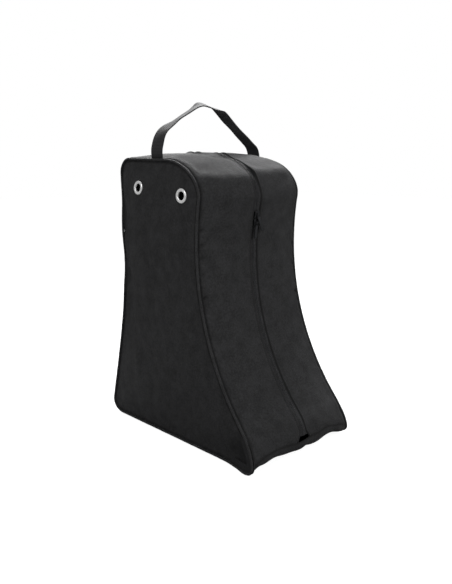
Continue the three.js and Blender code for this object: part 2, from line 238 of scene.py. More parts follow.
def front_rise(points):
    """Raises the base seam to where it lies on the filled bag, and the cloth over the hollows below it."""
    x, y, z = points[..., 0], points[..., 1], points[..., 2]
    at_front = np.clip((-y - FRONT_START) / FRONT_BLEND, 0, 1)
    seam_rise = SEAM_RISE * (1 - np.clip(np.abs(x) / SEAM_X, 0, 1)**8) + bumps(x, SEAM_BUMPS)
    rise = seam_rise * fade(z - BASE_SEAM_Z, SEAM_RISE_HALF) + bumps(x, FRONT_HOLLOWS) * fade(z, HOLLOW_TOP)
    moved = points.copy()
    moved[..., 2] = z + at_front * rise
    return moved


# The swelled rear of the top: its height, its front and back end, and how far from the seams it fades out
TOP_SWELL, TOP_SWELL_Y, TOP_SWELL_CALM = 5.0, (8, 98), 26
ZIP_WAVES = [(1.5, 9.5, 0.6), (0.7, 5.1, 0.0)]  # height, length over 2 pi and phase of each wave, mm
ZIP_WAVE_SINK = 0.6  # how much lower the zip lies where it waves


def zip_wave(y, z):
    """Height of the waves along the zip, mm: none on the front, and more over the top."""
    over_top = window(y, -30, 200, 9) * (z > 300)
    waves = sum(height * np.sin(y / length + phase) for height, length, phase in ZIP_WAVES)
    return over_top * waves - ZIP_WAVE_SINK * over_top


def top_swell(x, y):
    """The rear half of the top is filled out by air, between the seams, mm."""
    return TOP_SWELL * window(y, *TOP_SWELL_Y, 12) * (1 - fade(SEAM_X - np.abs(x), TOP_SWELL_CALM))


def strip_points(walked, xs, lift):
    """Points of a strip at each x, raised along the surface normal by lift(x, y, z), in mm."""
    share = crown(xs)[None, :, None]
    seam, middle = walked["seam"][:, None, :], walked["middle"][:, None, :]
    place = seam + (middle - seam) * share
    normal = walked["seam_normal"][:, None, :] * (1 - share) + walked["middle_normal"][:, None, :] * share
    normal /= np.linalg.norm(normal, axis=2)[..., None]
    x = np.broadcast_to(xs[None, :], place.shape[:2])
    height = lift(x, place[..., 0], place[..., 1], walked["length"][:, None] + 0 * x)
    place = place + normal * height[..., None]
    return np.concatenate([x[..., None], place], 2)


# %% [markdown]
# ## Making meshes
# Every piece of cloth is a grid of points given a thickness, so its edges and back are real. What repeats,
# such as zip teeth and stitches, and what follows a path, such as piping, is made by geometry nodes and
# then turned into a plain mesh. Solidify gives the thickness, because it keeps the rows of the grid, which
# a remesh would lose.

# %% Cloth as a thickened grid
def new_object(name, mesh, material):
    """An object in the scene with one mesh and one material."""
    mesh.materials.clear()
    mesh.materials.append(material)
    obj = bpy.data.objects.new(name, mesh)
    bpy.context.scene.collection.objects.link(obj)
    return obj


def plain(obj):
    """The object with its modifiers made part of the mesh."""
    depsgraph = bpy.context.evaluated_depsgraph_get()
    mesh = bpy.data.meshes.new_from_object(obj.evaluated_get(depsgraph), depsgraph=depsgraph)
    obj.modifiers.clear()
    obj.data = mesh
    return obj


def face_out(mesh):
    """Merges doubled points and turns all faces outward."""
    work = bmesh.new()
    work.from_mesh(mesh)
    bmesh.ops.remove_doubles(work, verts=work.verts, dist=1e-6)
    bmesh.ops.recalc_face_normals(work, faces=work.faces)
    work.to_mesh(mesh)
    work.free()


def smooth(obj, degrees):
    """Smooth shading, with edges sharper than an angle left sharp."""
    obj.data.polygons.foreach_set("use_smooth", [True] * len(obj.data.polygons))
    obj.data.set_sharp_from_angle(angle=math.radians(degrees))
    return obj


def cloth_grid(name, points, uv, material, outward, thickness=CLOTH, holes=(), groove=None):
    """A piece of cloth from a grid of points in mm.

    outward is a direction its face looks at its middle, and groove says how deep in a seam each point lies:
    the materials paint shade into the colour by it.
    """
    rows, columns = points.shape[:2]
    mesh = bpy.data.meshes.new(name)
    index = np.arange(rows * columns).reshape(rows, columns)
    quads = np.stack([index[:-1, :-1], index[1:, :-1], index[1:, 1:], index[:-1, 1:]], -1).reshape(-1, 4)
    i, j = rows // 2, columns // 2
    normal = np.cross(points[i + 1, j] - points[i, j], points[i, j + 1] - points[i, j])
    if normal @ np.array(outward) < 0:
        quads = quads[:, ::-1]
    for centre, radius in holes:
        middle = points.reshape(-1, 3)[quads].mean(1)
        quads = quads[np.linalg.norm(middle[:, 1:] - np.array(centre), axis=1) > radius]
    mesh.from_pydata((points.reshape(-1, 3) * MM).tolist(), [], quads.tolist())
    layer = mesh.uv_layers.new(name="UVMap")
    corners = np.array([loop.vertex_index for loop in mesh.loops])
    layer.data.foreach_set("uv", (uv.reshape(-1, 2)[corners] * MM).ravel())
    # The groove attribute is painted shade: the materials darken the colour by it.
    if groove is not None:
        mesh.attributes.new("groove", "FLOAT", "POINT").data.foreach_set("value", groove.ravel())
    obj = new_object(name, mesh, material)
    thick = obj.modifiers.new("thickness", "SOLIDIFY")
    thick.thickness = thickness * MM
    thick.offset = -1
    plain(obj)
    return smooth(obj, 60)


def path_object(name, points, outs=None, cyclic=False):
    """A line of edges in mm, with an outward direction at each point for the nodes to use."""
    mesh = bpy.data.meshes.new(name)
    count = len(points)
    edges = [(i, i + 1) for i in range(count - 1)] + ([(count - 1, 0)] if cyclic else [])
    mesh.from_pydata((np.asarray(points) * MM).tolist(), edges, [])
    if outs is not None:
        out = mesh.attributes.new("out", "FLOAT_VECTOR", "POINT")
        out.data.foreach_set("vector", np.asarray(outs).ravel())
    obj = bpy.data.objects.new(name, mesh)
    bpy.context.scene.collection.objects.link(obj)
    return obj


print("mesh helpers ready")

# %% [markdown]
# ## Two node groups
# One group lays a tube along a path and roughens it a little, as cloth wrapped round a cord is. The other
# lays small beads along a path, which do for zip coils and for stitches. Both could be loops over bmesh,
# but as node trees their sizes stay open as named inputs.

# %% Tube and beads
def node_group(name, inputs):
    group = bpy.data.node_groups.new(name, "GeometryNodeTree")
    group.interface.new_socket("Geometry", in_out="INPUT", socket_type="NodeSocketGeometry")
    for label, kind in inputs:
        group.interface.new_socket(label, in_out="INPUT", socket_type=kind)
    group.interface.new_socket("Geometry", in_out="OUTPUT", socket_type="NodeSocketGeometry")
    return group


def run_nodes(obj, group, material, **values):
    """Runs a node group on a path with its inputs set, and leaves a plain mesh."""
    modifier = obj.modifiers.new("nodes", "NODES")
    modifier.node_group = group
    for item in group.interface.items_tree:
        if item.item_type == "SOCKET" and item.in_out == "INPUT":
            label = item.name.replace(" ", "_").lower()
            if label == "material":
                modifier[item.identifier] = material
            elif label in values:
                modifier[item.identifier] = values[label]
    plain(obj)
    obj.data.materials.clear()
    obj.data.materials.append(material)
    face_out(obj.data)
    return smooth(obj, 50)


TUBE_SIDES, TUBE_NOISE_SCALE = 12, 160


def piping_nodes():
    """A tube along a path, with a small unevenness in the cloth wrapped round it."""
    group = node_group("piped tube", [("Radius", "NodeSocketFloat"), ("Wobble", "NodeSocketFloat"),
                                      ("Material", "NodeSocketMaterial")])
    nodes, link = group.nodes, group.links.new
    given, result = nodes.new("NodeGroupInput"), nodes.new("NodeGroupOutput")
    curve = nodes.new("GeometryNodeMeshToCurve")
    ring = nodes.new("GeometryNodeCurvePrimitiveCircle")
    ring.inputs["Resolution"].default_value = TUBE_SIDES
    tube = nodes.new("GeometryNodeCurveToMesh")
    tube.inputs["Fill Caps"].default_value = True
    rough = nodes.new("ShaderNodeTexNoise")
    rough.inputs["Scale"].default_value = TUBE_NOISE_SCALE
    centred = nodes.new("ShaderNodeMath")
    centred.operation = "SUBTRACT"
    centred.inputs[1].default_value = 0.5
    height = nodes.new("ShaderNodeMath")
    height.operation = "MULTIPLY"
    normal = nodes.new("GeometryNodeInputNormal")
    offset = nodes.new("ShaderNodeVectorMath")
    offset.operation = "SCALE"
    move = nodes.new("GeometryNodeSetPosition")
    paint = nodes.new("GeometryNodeSetMaterial")
    link(given.outputs["Geometry"], curve.inputs[0])
    link(given.outputs["Radius"], ring.inputs["Radius"])
    link(curve.outputs[0], tube.inputs["Curve"])
    link(ring.outputs["Curve"], tube.inputs["Profile Curve"])
    link(rough.outputs[0], centred.inputs[0])
    link(centred.outputs[0], height.inputs[0])
    link(given.outputs["Wobble"], height.inputs[1])
    link(normal.outputs[0], offset.inputs[0])
    link(height.outputs[0], offset.inputs["Scale"])
    link(tube.outputs[0], move.inputs["Geometry"])
    link(offset.outputs[0], move.inputs["Offset"])
    link(move.outputs[0], paint.inputs["Geometry"])
    link(given.outputs["Material"], paint.inputs["Material"])
    link(paint.outputs[0], result.inputs[0])
    return group


def bead_nodes():
    """A small rounded bead every Pitch along a path, with its top facing out."""
    group = node_group("beads on a path", [("Pitch", "NodeSocketFloat"), ("Size", "NodeSocketVector"),
                                           ("Material", "NodeSocketMaterial")])
    nodes, link = group.nodes, group.links.new
    given, result = nodes.new("NodeGroupInput"), nodes.new("NodeGroupOutput")
    curve = nodes.new("GeometryNodeMeshToCurve")
    spaced = nodes.new("GeometryNodeResampleCurve")
    spaced.mode = "LENGTH"
    tangent = nodes.new("GeometryNodeInputTangent")
    out = nodes.new("GeometryNodeInputNamedAttribute")
    out.data_type = "FLOAT_VECTOR"
    out.inputs["Name"].default_value = "out"
    face = nodes.new("FunctionNodeAlignRotationToVector")
    face.axis = "Z"
    turn = nodes.new("FunctionNodeAlignRotationToVector")
    turn.axis = "X"
    turn.pivot_axis = "Z"
    bead = nodes.new("GeometryNodeMeshUVSphere")
    bead.inputs["Segments"].default_value = 8
    bead.inputs["Rings"].default_value = 5
    bead.inputs["Radius"].default_value = 1.0
    place = nodes.new("GeometryNodeInstanceOnPoints")
    real = nodes.new("GeometryNodeRealizeInstances")
    paint = nodes.new("GeometryNodeSetMaterial")
    link(given.outputs["Geometry"], curve.inputs[0])
    link(curve.outputs[0], spaced.inputs["Curve"])
    link(given.outputs["Pitch"], spaced.inputs["Length"])
    link(out.outputs["Attribute"], face.inputs["Vector"])
    link(face.outputs[0], turn.inputs["Rotation"])
    link(tangent.outputs[0], turn.inputs["Vector"])
    link(spaced.outputs[0], place.inputs["Points"])
    link(bead.outputs["Mesh"], place.inputs["Instance"])
    link(turn.outputs[0], place.inputs["Rotation"])
    link(given.outputs["Size"], place.inputs["Scale"])
    link(place.outputs[0], real.inputs[0])
    link(real.outputs[0], paint.inputs["Geometry"])
    link(given.outputs["Material"], paint.inputs["Material"])
    link(paint.outputs[0], result.inputs[0])
    return group


PIPING, BEADS = piping_nodes(), bead_nodes()
print("node groups:", PIPING.name, "and", BEADS.name)

# %% [markdown]
# ## Materials
# The cloth is a plain weave with a slight sheen from its smooth filament yarn. Its threads are drawn from
# the piece's own map, which is in metres, so that the weave is the same size on every piece. Each cloth
# piece also carries a number at every point that says how deep in a seam or a dent it lies. The colour is
# painted darker there, because light alone leaves such thin lines too faint. Webbing has ribs across it.
# The zip's metal is dark. The eyelets are nickel, but they are set only partly metallic: a full metal
# reflects the dim surroundings and looks too dark.

# %% Cloth, webbing and metal
def shader(name, colour, roughness, **values):
    """A new material with its colour, roughness and other constant values set."""
    material = bpy.data.materials.new(name)
    material.use_nodes = True
    surface = material.node_tree.nodes["Principled BSDF"]
    surface.inputs["Base Color"].default_value = (*colour, 1)
    surface.inputs["Roughness"].default_value = roughness
    for label, value in values.items():
        surface.inputs[label.replace("_", " ")].default_value = value
    return material, material.node_tree.nodes, material.node_tree.links.new, surface


def maths(nodes, link, operation, *terms):
    """The result of a Math node whose terms are numbers or other nodes' outputs."""
    node = nodes.new("ShaderNodeMath")
    node.operation = operation
    for socket, term in zip(node.inputs, terms):
        if isinstance(term, (int, float)):
            socket.default_value = term
        else:
            link(term, socket)
    return node.outputs[0]


def bump(nodes, link, surface, height, distance, strength):
    """Tilts a surface's shading by a height."""
    node = nodes.new("ShaderNodeBump")
    node.inputs["Distance"].default_value = distance
    node.inputs["Strength"].default_value = strength
    link(height, node.inputs["Height"])
    link(node.outputs[0], surface.inputs["Normal"])


PAINTED_SEAM_SHADE = 0.95  # how much of the colour is lost to painted shade at the bottom of a seam


def after_painted_shade(nodes, link):
    """1 on open cloth and near 0 deep in a seam: the share of the colour left after the painted shade."""
    groove = nodes.new("ShaderNodeAttribute")
    groove.attribute_name = "groove"
    lost = maths(nodes, link, "MULTIPLY", groove.outputs["Fac"], PAINTED_SEAM_SHADE)
    return maths(nodes, link, "SUBTRACT", 1.0, lost)


MOTTLE = 0.5  # how much lighter and darker the cloth is in patches
SLOW_SCALE, FINE_SCALE, SLOW_SHARE, FINE_SHARE = 60, 380, 0.45, 0.55


def woven(name, colour, roughness, thread, strength, sheen):
    """Plain weave: threads over and under each other, thread metres wide, with patches of shade."""
    material, nodes, link, surface = shader(name, colour, roughness, Sheen_Weight=sheen, Sheen_Roughness=0.4,
                                            Specular_IOR_Level=0.35)
    surface.inputs["Sheen Tint"].default_value = (0.8, 0.82, 0.86, 1)
    place = nodes.new("ShaderNodeUVMap")
    place.uv_map = "UVMap"
    split = nodes.new("ShaderNodeSeparateXYZ")
    link(place.outputs[0], split.inputs[0])
    across = maths(nodes, link, "MULTIPLY", split.outputs[0], math.pi / thread)
    along = maths(nodes, link, "MULTIPLY", split.outputs[1], math.pi / thread)
    over_across = maths(nodes, link, "SINE", across)
    warp = maths(nodes, link, "MULTIPLY", over_across, maths(nodes, link, "SINE", along))
    rib = maths(nodes, link, "ABSOLUTE", over_across)
    height = maths(nodes, link, "ADD", warp, maths(nodes, link, "MULTIPLY", rib, 0.6))
    bump(nodes, link, surface, height, thread * 0.4, strength)
    coords = nodes.new("ShaderNodeTexCoord")
    slow, fine = nodes.new("ShaderNodeTexNoise"), nodes.new("ShaderNodeTexNoise")
    for cloud, scale in ((slow, SLOW_SCALE), (fine, FINE_SCALE)):
        cloud.inputs["Scale"].default_value = scale
        cloud.inputs["Detail"].default_value = 5
        link(coords.outputs["Object"], cloud.inputs["Vector"])
    slow_part = maths(nodes, link, "MULTIPLY", slow.outputs[0], SLOW_SHARE)
    both = maths(nodes, link, "MULTIPLY_ADD", fine.outputs[0], FINE_SHARE, slow_part)
    shade = nodes.new("ShaderNodeMapRange")
    shade.inputs["From Min"].default_value = 0.38
    shade.inputs["From Max"].default_value = 0.62
    shade.inputs["To Min"].default_value = 1 - MOTTLE
    shade.inputs["To Max"].default_value = 1 + MOTTLE
    link(both, shade.inputs["Value"])
    tint = nodes.new("ShaderNodeVectorMath")
    tint.operation = "SCALE"
    tint.inputs[0].default_value = colour
    # The mottled colour is darkened by the painted seam shade.
    link(maths(nodes, link, "MULTIPLY", shade.outputs[0], after_painted_shade(nodes, link)), tint.inputs["Scale"])
    link(tint.outputs[0], surface.inputs["Base Color"])
    return material


RIB_PITCH, LINE_PITCH = 0.0021, 0.0012  # ribs across the webbing and lines along it, metres
# Colours of the rib valleys and crowns; the darker valleys are painted shade
RIB_VALLEY, RIB_CROWN = (0.004, 0.004, 0.0044), (0.028, 0.028, 0.03)


def stripes(nodes, link, place, pitch):
    """Rounded ridges, one every pitch metres along one direction of the map."""
    turned = maths(nodes, link, "MULTIPLY", place, math.pi / pitch)
    return maths(nodes, link, "ABSOLUTE", maths(nodes, link, "SINE", turned))


def webbing_look():
    """Ribs across the band and fine lines along it, with painted shade: darker in the valleys between the
    ribs than on their crowns.
    """
    material, nodes, link, surface = shader("webbing", RIB_CROWN, 0.72, Sheen_Weight=0.06,
                                            Sheen_Roughness=0.4, Specular_IOR_Level=0.3)
    place = nodes.new("ShaderNodeUVMap")
    place.uv_map = "UVMap"
    split = nodes.new("ShaderNodeSeparateXYZ")
    link(place.outputs[0], split.inputs[0])
    ribs = stripes(nodes, link, split.outputs[1], RIB_PITCH)
    lines = stripes(nodes, link, split.outputs[0], LINE_PITCH)
    height = maths(nodes, link, "ADD", ribs, maths(nodes, link, "MULTIPLY", lines, 0.35))
    bump(nodes, link, surface, height, 0.0004, 0.25)
    tint = nodes.new("ShaderNodeMix")
    tint.data_type = "RGBA"
    tint.inputs[6].default_value = (*RIB_VALLEY, 1)
    tint.inputs[7].default_value = (*RIB_CROWN, 1)
    # The colour follows the rib height, which paints shade into the valleys, and the painted seam shade
    # darkens the band's foot.
    link(maths(nodes, link, "MULTIPLY", ribs, after_painted_shade(nodes, link)), tint.inputs["Factor"])
    link(tint.outputs[2], surface.inputs["Base Color"])
    return material


def metal_look(name, colour, roughness, scratch, metallic):
    """Metal whose roughness varies by scratch in a fine pattern."""
    material, nodes, link, surface = shader(name, colour, roughness, Metallic=metallic)
    coords = nodes.new("ShaderNodeTexCoord")
    wear = nodes.new("ShaderNodeTexNoise")
    wear.inputs["Scale"].default_value = 500
    wear.inputs["Detail"].default_value = 4
    link(coords.outputs["Object"], wear.inputs["Vector"])
    rough = nodes.new("ShaderNodeMapRange")
    rough.inputs["To Min"].default_value = roughness - scratch
    rough.inputs["To Max"].default_value = roughness + scratch
    link(wear.outputs[0], rough.inputs["Value"])
    link(rough.outputs[0], surface.inputs["Roughness"])
    return material


BLACK = (0.0155, 0.0155, 0.0165)
CLOTH_LOOK = woven("cloth", BLACK, roughness=0.74, thread=0.00055, strength=0.55, sheen=0.02)
PIPING_LOOK = woven("piping cloth", BLACK, roughness=0.6, thread=0.00055, strength=0.4, sheen=0.1)
TAPE_LOOK = woven("zip tape", (0.02, 0.02, 0.021), roughness=0.8, thread=0.0006, strength=0.6, sheen=0.05)
BINDING_LOOK = woven("binding tape", (0.011, 0.011, 0.012), roughness=0.8, thread=0.0008, strength=0.5,
                     sheen=0.05)
WEBBING_LOOK = webbing_look()
COIL_LOOK = shader("zip coil", (0.02, 0.02, 0.022), 0.42)[0]
THREAD_LOOK = shader("thread", (0.012, 0.012, 0.013), 0.5, Sheen_Weight=0.2)[0]
CORD_LOOK = shader("piping core", (0.5, 0.49, 0.46), 0.7)[0]
ZIP_METAL = metal_look("dark zip metal", (0.05, 0.051, 0.054), 0.36, scratch=0.08, metallic=1.0)
NICKEL = metal_look("nickel", (0.95, 0.95, 0.95), 0.3, scratch=0.07, metallic=0.45)
print("materials:", len(bpy.data.materials))

# %% [markdown]
# ## Side panels
# Each panel is one boot-shaped cut. Its grid is stretched between the four sides of the outline, so that
# rows follow the sole and the top while columns follow the front and the back. The cloth swells out a
# little, the seam thread draws it into short ripples close to the piping, and it is dented above the toe
# corner, where nothing fills it. Two holes are cut for the eyelets.

# %% Two boot-shaped panels
EYELETS = {"back": (75, 378), "front": (-23, 369.5)}
EYELET_HOLE = 6.9
CLOSING = 0.115  # how much closer rows lie at the ends: about four times closer than in the middle


def closing(count):
    """Numbers from 0 to 1, closer together at both ends than in the middle."""
    t = np.linspace(0, 1, count)
    return t - CLOSING * np.sin(2 * math.pi * t)


def side_of_outline(run, count):
    """Points along part of the seam line, closer together towards its ends."""
    dense = np.concatenate([SEAM[name](np.linspace(start, end, DENSE)) for name, start, end in run])
    length = np.concatenate([[0], np.cumsum(np.linalg.norm(np.diff(dense, axis=0), axis=1))])
    return np.stack([np.interp(closing(count) * length[-1], length, dense[:, k]) for k in (0, 1)], 1)


PANEL_ROWS, PANEL_COLUMNS = 210, 140


def panel_grid():
    """Points (y, z) that fill the outline, each blended from the four sides."""
    front_run = [("toe_turn", 0.5, 1), ("toe", 0, 1), ("front", 0, 1), ("brow", 0, 0.5)]
    front = side_of_outline(front_run, PANEL_ROWS)
    back = side_of_outline([("heel", 0.5, 0), ("calf", 1, 0), ("back", 1, 0), ("nape", 1, 0.5)], PANEL_ROWS)
    sole = side_of_outline([("toe_turn", 0.5, 0), ("sole", 1, 0), ("heel", 1, 0.5)], PANEL_COLUMNS)
    top = side_of_outline([("brow", 0.5, 1), ("top", 0, 1), ("nape", 0, 0.5)], PANEL_COLUMNS)
    v = closing(PANEL_ROWS)[:, None, None]
    u = closing(PANEL_COLUMNS)[None, :, None]
    ruled = (1 - u) * front[:, None] + u * back[:, None] + (1 - v) * sole[None] + v * top[None]
    corners = ((1 - u) * (1 - v) * sole[0] + u * (1 - v) * sole[-1] + (1 - u) * v * top[0] + u * v * top[-1])
    return ruled - corners


AT_ONCE = 2000  # points handled together, which keeps the tables small


def seam_distance(yz):
    """Distance in mm from each point to the seam line."""
    flat = yz.reshape(-1, 2)
    seam = loop_walk["seam"]
    nearest = np.empty(len(flat))
    for start in range(0, len(flat), AT_ONCE):
        part = flat[start:start + AT_ONCE, None] - seam[None]
        nearest[start:start + AT_ONCE] = np.sqrt(np.square(part).sum(2)).min(1)
    return nearest.reshape(yz.shape[:-1])


PANEL_YZ = panel_grid()
PANEL_DEPTH = seam_distance(PANEL_YZ)

# Heights of the shapes in a side panel, mm
PANEL_INSET = 0.5  # the panel's face lies this far inside the seam's middle
BELLY, BELLY_CALM = 4.6, 34  # the last value of each is how far from the seam the shape fades out
PANEL_SLOW, PANEL_SMALL, PANEL_CALM = 3.6, 1.2, 16
PANEL_RIPPLE = 1.1
BACK_WAVE, BACK_SEAM_Y, WAIST_Z = 2.2, 121, (215, 375)  # waves beside the back seam, between two heights
TOE_DENT_DEPTH, TOE_DENT_YZ, TOE_DENT_HALF = 10, (-143, 23), 17
# Painted shade over the toe dent: the share of the colour lost and its half width, mm
TOE_DENT_PAINTED_SHADE, TOE_DENT_PAINTED_SHADE_HALF = 0.55, 20
# The piping hides the groove itself from the side, so the painted shade of its dark line reaches a little
# past it
PAINTED_LINE_PAST, PAINTED_LINE_WIDER = 1.5, 0.6


def toe_dent(y, z):
    """Distance in mm from the middle of the dent that the panel has above its toe corner."""
    return np.hypot(y - TOE_DENT_YZ[0], z - TOE_DENT_YZ[1])


def panel_lift(y, z, depth, seed):
    """How far the panel stands out from the seam's plane, mm."""
    here = np.stack([y, z, 0 * y], -1)
    inside = 1 - fade(depth, PANEL_CALM)
    belly = BELLY * (1 - fade(depth, BELLY_CALM))
    groove = -GROOVE_DEPTH * fade(depth - GROOVE_AT, GROOVE_HALF)
    slow = swell(here * [1.0, 0.45, 1], 55, seed) * PANEL_SLOW * inside
    small = swell(here * [1.0, 0.5, 1], 22, seed + 3) * PANEL_SMALL * inside
    ripple = swell(here, 9, seed + 5) * PANEL_RIPPLE * fade(depth - 6, 6)
    at_back = fade(y - BACK_SEAM_Y, 16) * window(z, *WAIST_Z, 12) * (1 - fade(depth, 4))
    wavy_back = BACK_WAVE * np.sin(z / 15 + seed) * at_back
    toe_sink = -TOE_DENT_DEPTH * fade(toe_dent(y, z), TOE_DENT_HALF)
    return belly + groove + slow + small + ripple + wavy_back + toe_sink


def side_panel(side, name, seed):
    """One side of the bag: side is -1 for the left and 1 for the right."""
    y, z = PANEL_YZ[..., 0], PANEL_YZ[..., 1]
    x = side * (SEAM_X - PANEL_INSET + panel_lift(y, z, PANEL_DEPTH, seed))
    points = toe_corners(np.stack([x, y, z], -1))
    holes = [(place, EYELET_HOLE) for place in EYELETS.values()]
    # Painted shade: a dark line beside the piping and a dark patch over the toe dent
    groove = fade(PANEL_DEPTH - GROOVE_AT - PAINTED_LINE_PAST, GROOVE_HALF + PAINTED_LINE_WIDER)
    groove = np.maximum(groove, TOE_DENT_PAINTED_SHADE * fade(toe_dent(y, z), TOE_DENT_PAINTED_SHADE_HALF))
    panel = cloth_grid(name, points, PANEL_YZ, CLOTH_LOOK, (side, 0, 0), holes=holes, groove=groove)
    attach(panel, "bag")
    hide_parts(name)
    return panel


PANEL_SEEDS = {-1: 1, 1: 2}
SIDES = {-1: "left", 1: "right"}
panels = {side: side_panel(side, word + "_side_panel", PANEL_SEEDS[side]) for side, word in SIDES.items()}
print("panel faces:", len(panels[-1].data.polygons))

# %% [markdown]
# ## Front strips and the base and back
# The two halves of the front strip are folded under along the zip and stitched down 4.6 mm from the fold,
# which leaves a soft ridge between fold and stitches. At the bottom the folds open a little, because the
# zip ends there in the base seam. The base and back are one strip, joined to the front strips at the toe
# and just below the top edge of the back. The strips are grids like the panels, because every fold and
# crease is then a height over the same smooth surface.

# %% Two gussets and one long strip
STITCH_X = 4.6  # fold to the stitches beside the zip
GUSSET_EDGE = SEAM_X - 1.2
NEAR_FOLD, NEAR_SEAM = 12, 86  # the columns of a strip lie closer together outside these two distances
TOE_Y, BASE_Y = -100, -120  # the toe is in front of the first, and the base seam in front of the second
POCKET_WIDER, POCKET_HEIGHT = 6.0, 13  # how far each fold opens at the zip's lower end, and over what height
OPENING_REACH = 40  # width of the cloth that moves aside with an opened fold

# Heights of the shapes in a strip, mm
FOLD_RIDGE, FOLD_RIDGE_MORE = 0.5, 1.3  # the ridge between fold and stitches, and what is added on the top
FOLD_MORE_Y = (-5, 105)
STITCH_SINK, FOLD_TURN = 0.25, 1.0  # how deep the stitches and the folded edge lie
GUSSET_SLOW, GUSSET_SMALL = 3.0, 0.8
PUCKERS, PUCKERS_Z, SEAM_RIPPLES = 2.4, (175, 330), 0.9  # the puckers lie between two heights
CREASE_DEPTH, CREASE_AT, CREASE_LONG = 2.8, 7, 3.5  # depth, distance from the seam and half length
CREASE_HALF, CREASE_SLANT = 2.6, 0.5
CREASE_HEIGHTS = {-1: (228, 260, 283, 301, 322), 1: (214, 258, 290)}
TOE_WAVE = 1.3
DIMPLE_DEPTH, DIMPLE_Y, DIMPLE_X, DIMPLE_HALF = 3.0, 38, 86, 13  # beside each foot of the handle
SEAM_ROLL, END_SINK = 0.7, 0.5  # the roll beside the groove, and how deep the end seams lie
BROW_FOLD, BROW_FOLD_HALF = 3.4, 12  # the soft fold between the front and the top
BROW_FOLD_Z = {-1: 393, 1: 401}
BROW_END = int(np.argmax(front_walk["middle"][:, 1]))

# Shares of the colour lost to painted shade at each kind of seam, and half the width of each painted dark
# line
STITCH_PAINTED_SHADE, CREASE_PAINTED_SHADE = 0.35, 0.8
STITCH_LINE, END_LINE, FOLD_LINE, FOLD_LINE_AT = 1.0, 2.4, 2.4, 0.6


def fold_x(z, y):
    """Middle of the zip to the folded edge, which opens above the base seam, mm."""
    return ZIP_FOLD_X + POCKET_WIDER * fade(z - BASE_SEAM_Z, POCKET_HEIGHT) * (y < TOE_Y)


def uneven_columns():
    """Distances from the fold to the seam: close together at both edges, wider between."""
    near_fold = np.linspace(0, NEAR_FOLD, 19)
    middle = np.linspace(NEAR_FOLD, NEAR_SEAM, 34)[1:]
    near_seam = np.linspace(NEAR_SEAM, GUSSET_EDGE - ZIP_FOLD_X, 12)[1:]
    return np.concatenate([near_fold, middle, near_seam])


def seam_creases(side, from_seam, z):
    """The short slanting creases that the thread draws into a strip beside its seam."""
    slanted = z - CREASE_SLANT * (from_seam - 6)
    across = fade(from_seam - CREASE_AT, CREASE_LONG)
    return across * sum(fade(slanted - height, CREASE_HALF) for height in CREASE_HEIGHTS[side])


def gusset_lift(side, seed):
    """Height of the cloth over the plain strip: folds, ripples and puckers, mm."""
    rising = front_walk["middle"][:BROW_END, 1]
    brow_fold = np.interp(BROW_FOLD_Z[side], rising, front_walk["length"][:BROW_END])

    def lift(x, y, z, length):
        from_fold = np.abs(x) - ZIP_FOLD_X
        from_seam = SEAM_X - np.abs(x)
        here = np.stack([x, y, z], -1)
        end_seams = (1 - fade(length, 16)) * (1 - fade(front_walk["length"][-1] - length, 14))
        inside = (1 - fade(from_seam, 14)) * (1 - fade(from_fold, 10)) * end_seams
        slow = swell(here * [1, 0.6, 0.6], 55, seed) * GUSSET_SLOW * inside
        small = swell(here * [1.0, 0.9, 0.9], 20, seed + 2) * GUSSET_SMALL * inside
        fold_height = FOLD_RIDGE + FOLD_RIDGE_MORE * window(y, *FOLD_MORE_Y, 6)
        ridge = fold_height * np.sin(np.clip(from_fold / STITCH_X, 0, 1) * math.pi)
        ridge = ridge - STITCH_SINK * fade(from_fold - STITCH_X, 0.9) - FOLD_TURN * fade(from_fold, 0.5)
        at_puckers = fade(from_seam - 8, 5) * window(z, *PUCKERS_Z, 20)
        puckers = swell(here * [0.4, 1, 1], 5.5, seed + 4) * PUCKERS * at_puckers
        puckers = puckers - CREASE_DEPTH * seam_creases(side, from_seam, z)
        near_seam = swell(here, 10, seed + 6) * SEAM_RIPPLES * fade(from_seam - 6, 4)
        at_toe = fade(z - BASE_SEAM_Z - 16, 14) * (y < TOE_Y) * end_seams
        toe_wave = TOE_WAVE * np.sin(x / 14 + seed) * at_toe
        from_dimple = np.hypot(y - DIMPLE_Y, np.abs(x) - DIMPLE_X)
        dimples = -DIMPLE_DEPTH * fade(from_dimple, DIMPLE_HALF) * (z > 380)
        tuck = SEAM_ROLL * fade(from_seam - 9, 4) - GROOVE_DEPTH * fade(from_seam - GROOVE_AT, GROOVE_HALF)
        tuck = tuck - END_SINK * fade(length, 1.2)
        brow = BROW_FOLD * fade(length - brow_fold, BROW_FOLD_HALF) * (1 - fade(from_seam, 14))
        wave = zip_wave(y, z) * fade(from_fold, 34) + top_swell(x, y)
        return brow + slow + small + ridge + puckers + near_seam + toe_wave + dimples + tuck + wave
    return lift


def strip_painted_shade(xs, length, from_fold=None):
    """How deep each point of a strip lies in the side seam, the end seams or the stitches by the zip, as a
    share of painted shade.
    """
    beside_piping = fade(SEAM_X - np.abs(xs) - GROOVE_AT, GROOVE_HALF)[None]
    at_ends = (fade(length, END_LINE) + fade(length[-1] - length, END_LINE))[:, None]
    if from_fold is None:
        return np.clip(beside_piping + at_ends, 0, 1)
    stitched = STITCH_PAINTED_SHADE * fade(from_fold - STITCH_X, STITCH_LINE)
    folded = fade(from_fold - FOLD_LINE_AT, FOLD_LINE)
    return np.clip(beside_piping + at_ends + (stitched + folded)[None], 0, 1)


def strip_map(across, length):
    """The cloth's own map: distance across and along the piece, mm."""
    shape = (len(length), len(across))
    return np.stack([np.broadcast_to(across[None], shape), np.broadcast_to(length[:, None], shape)], -1)


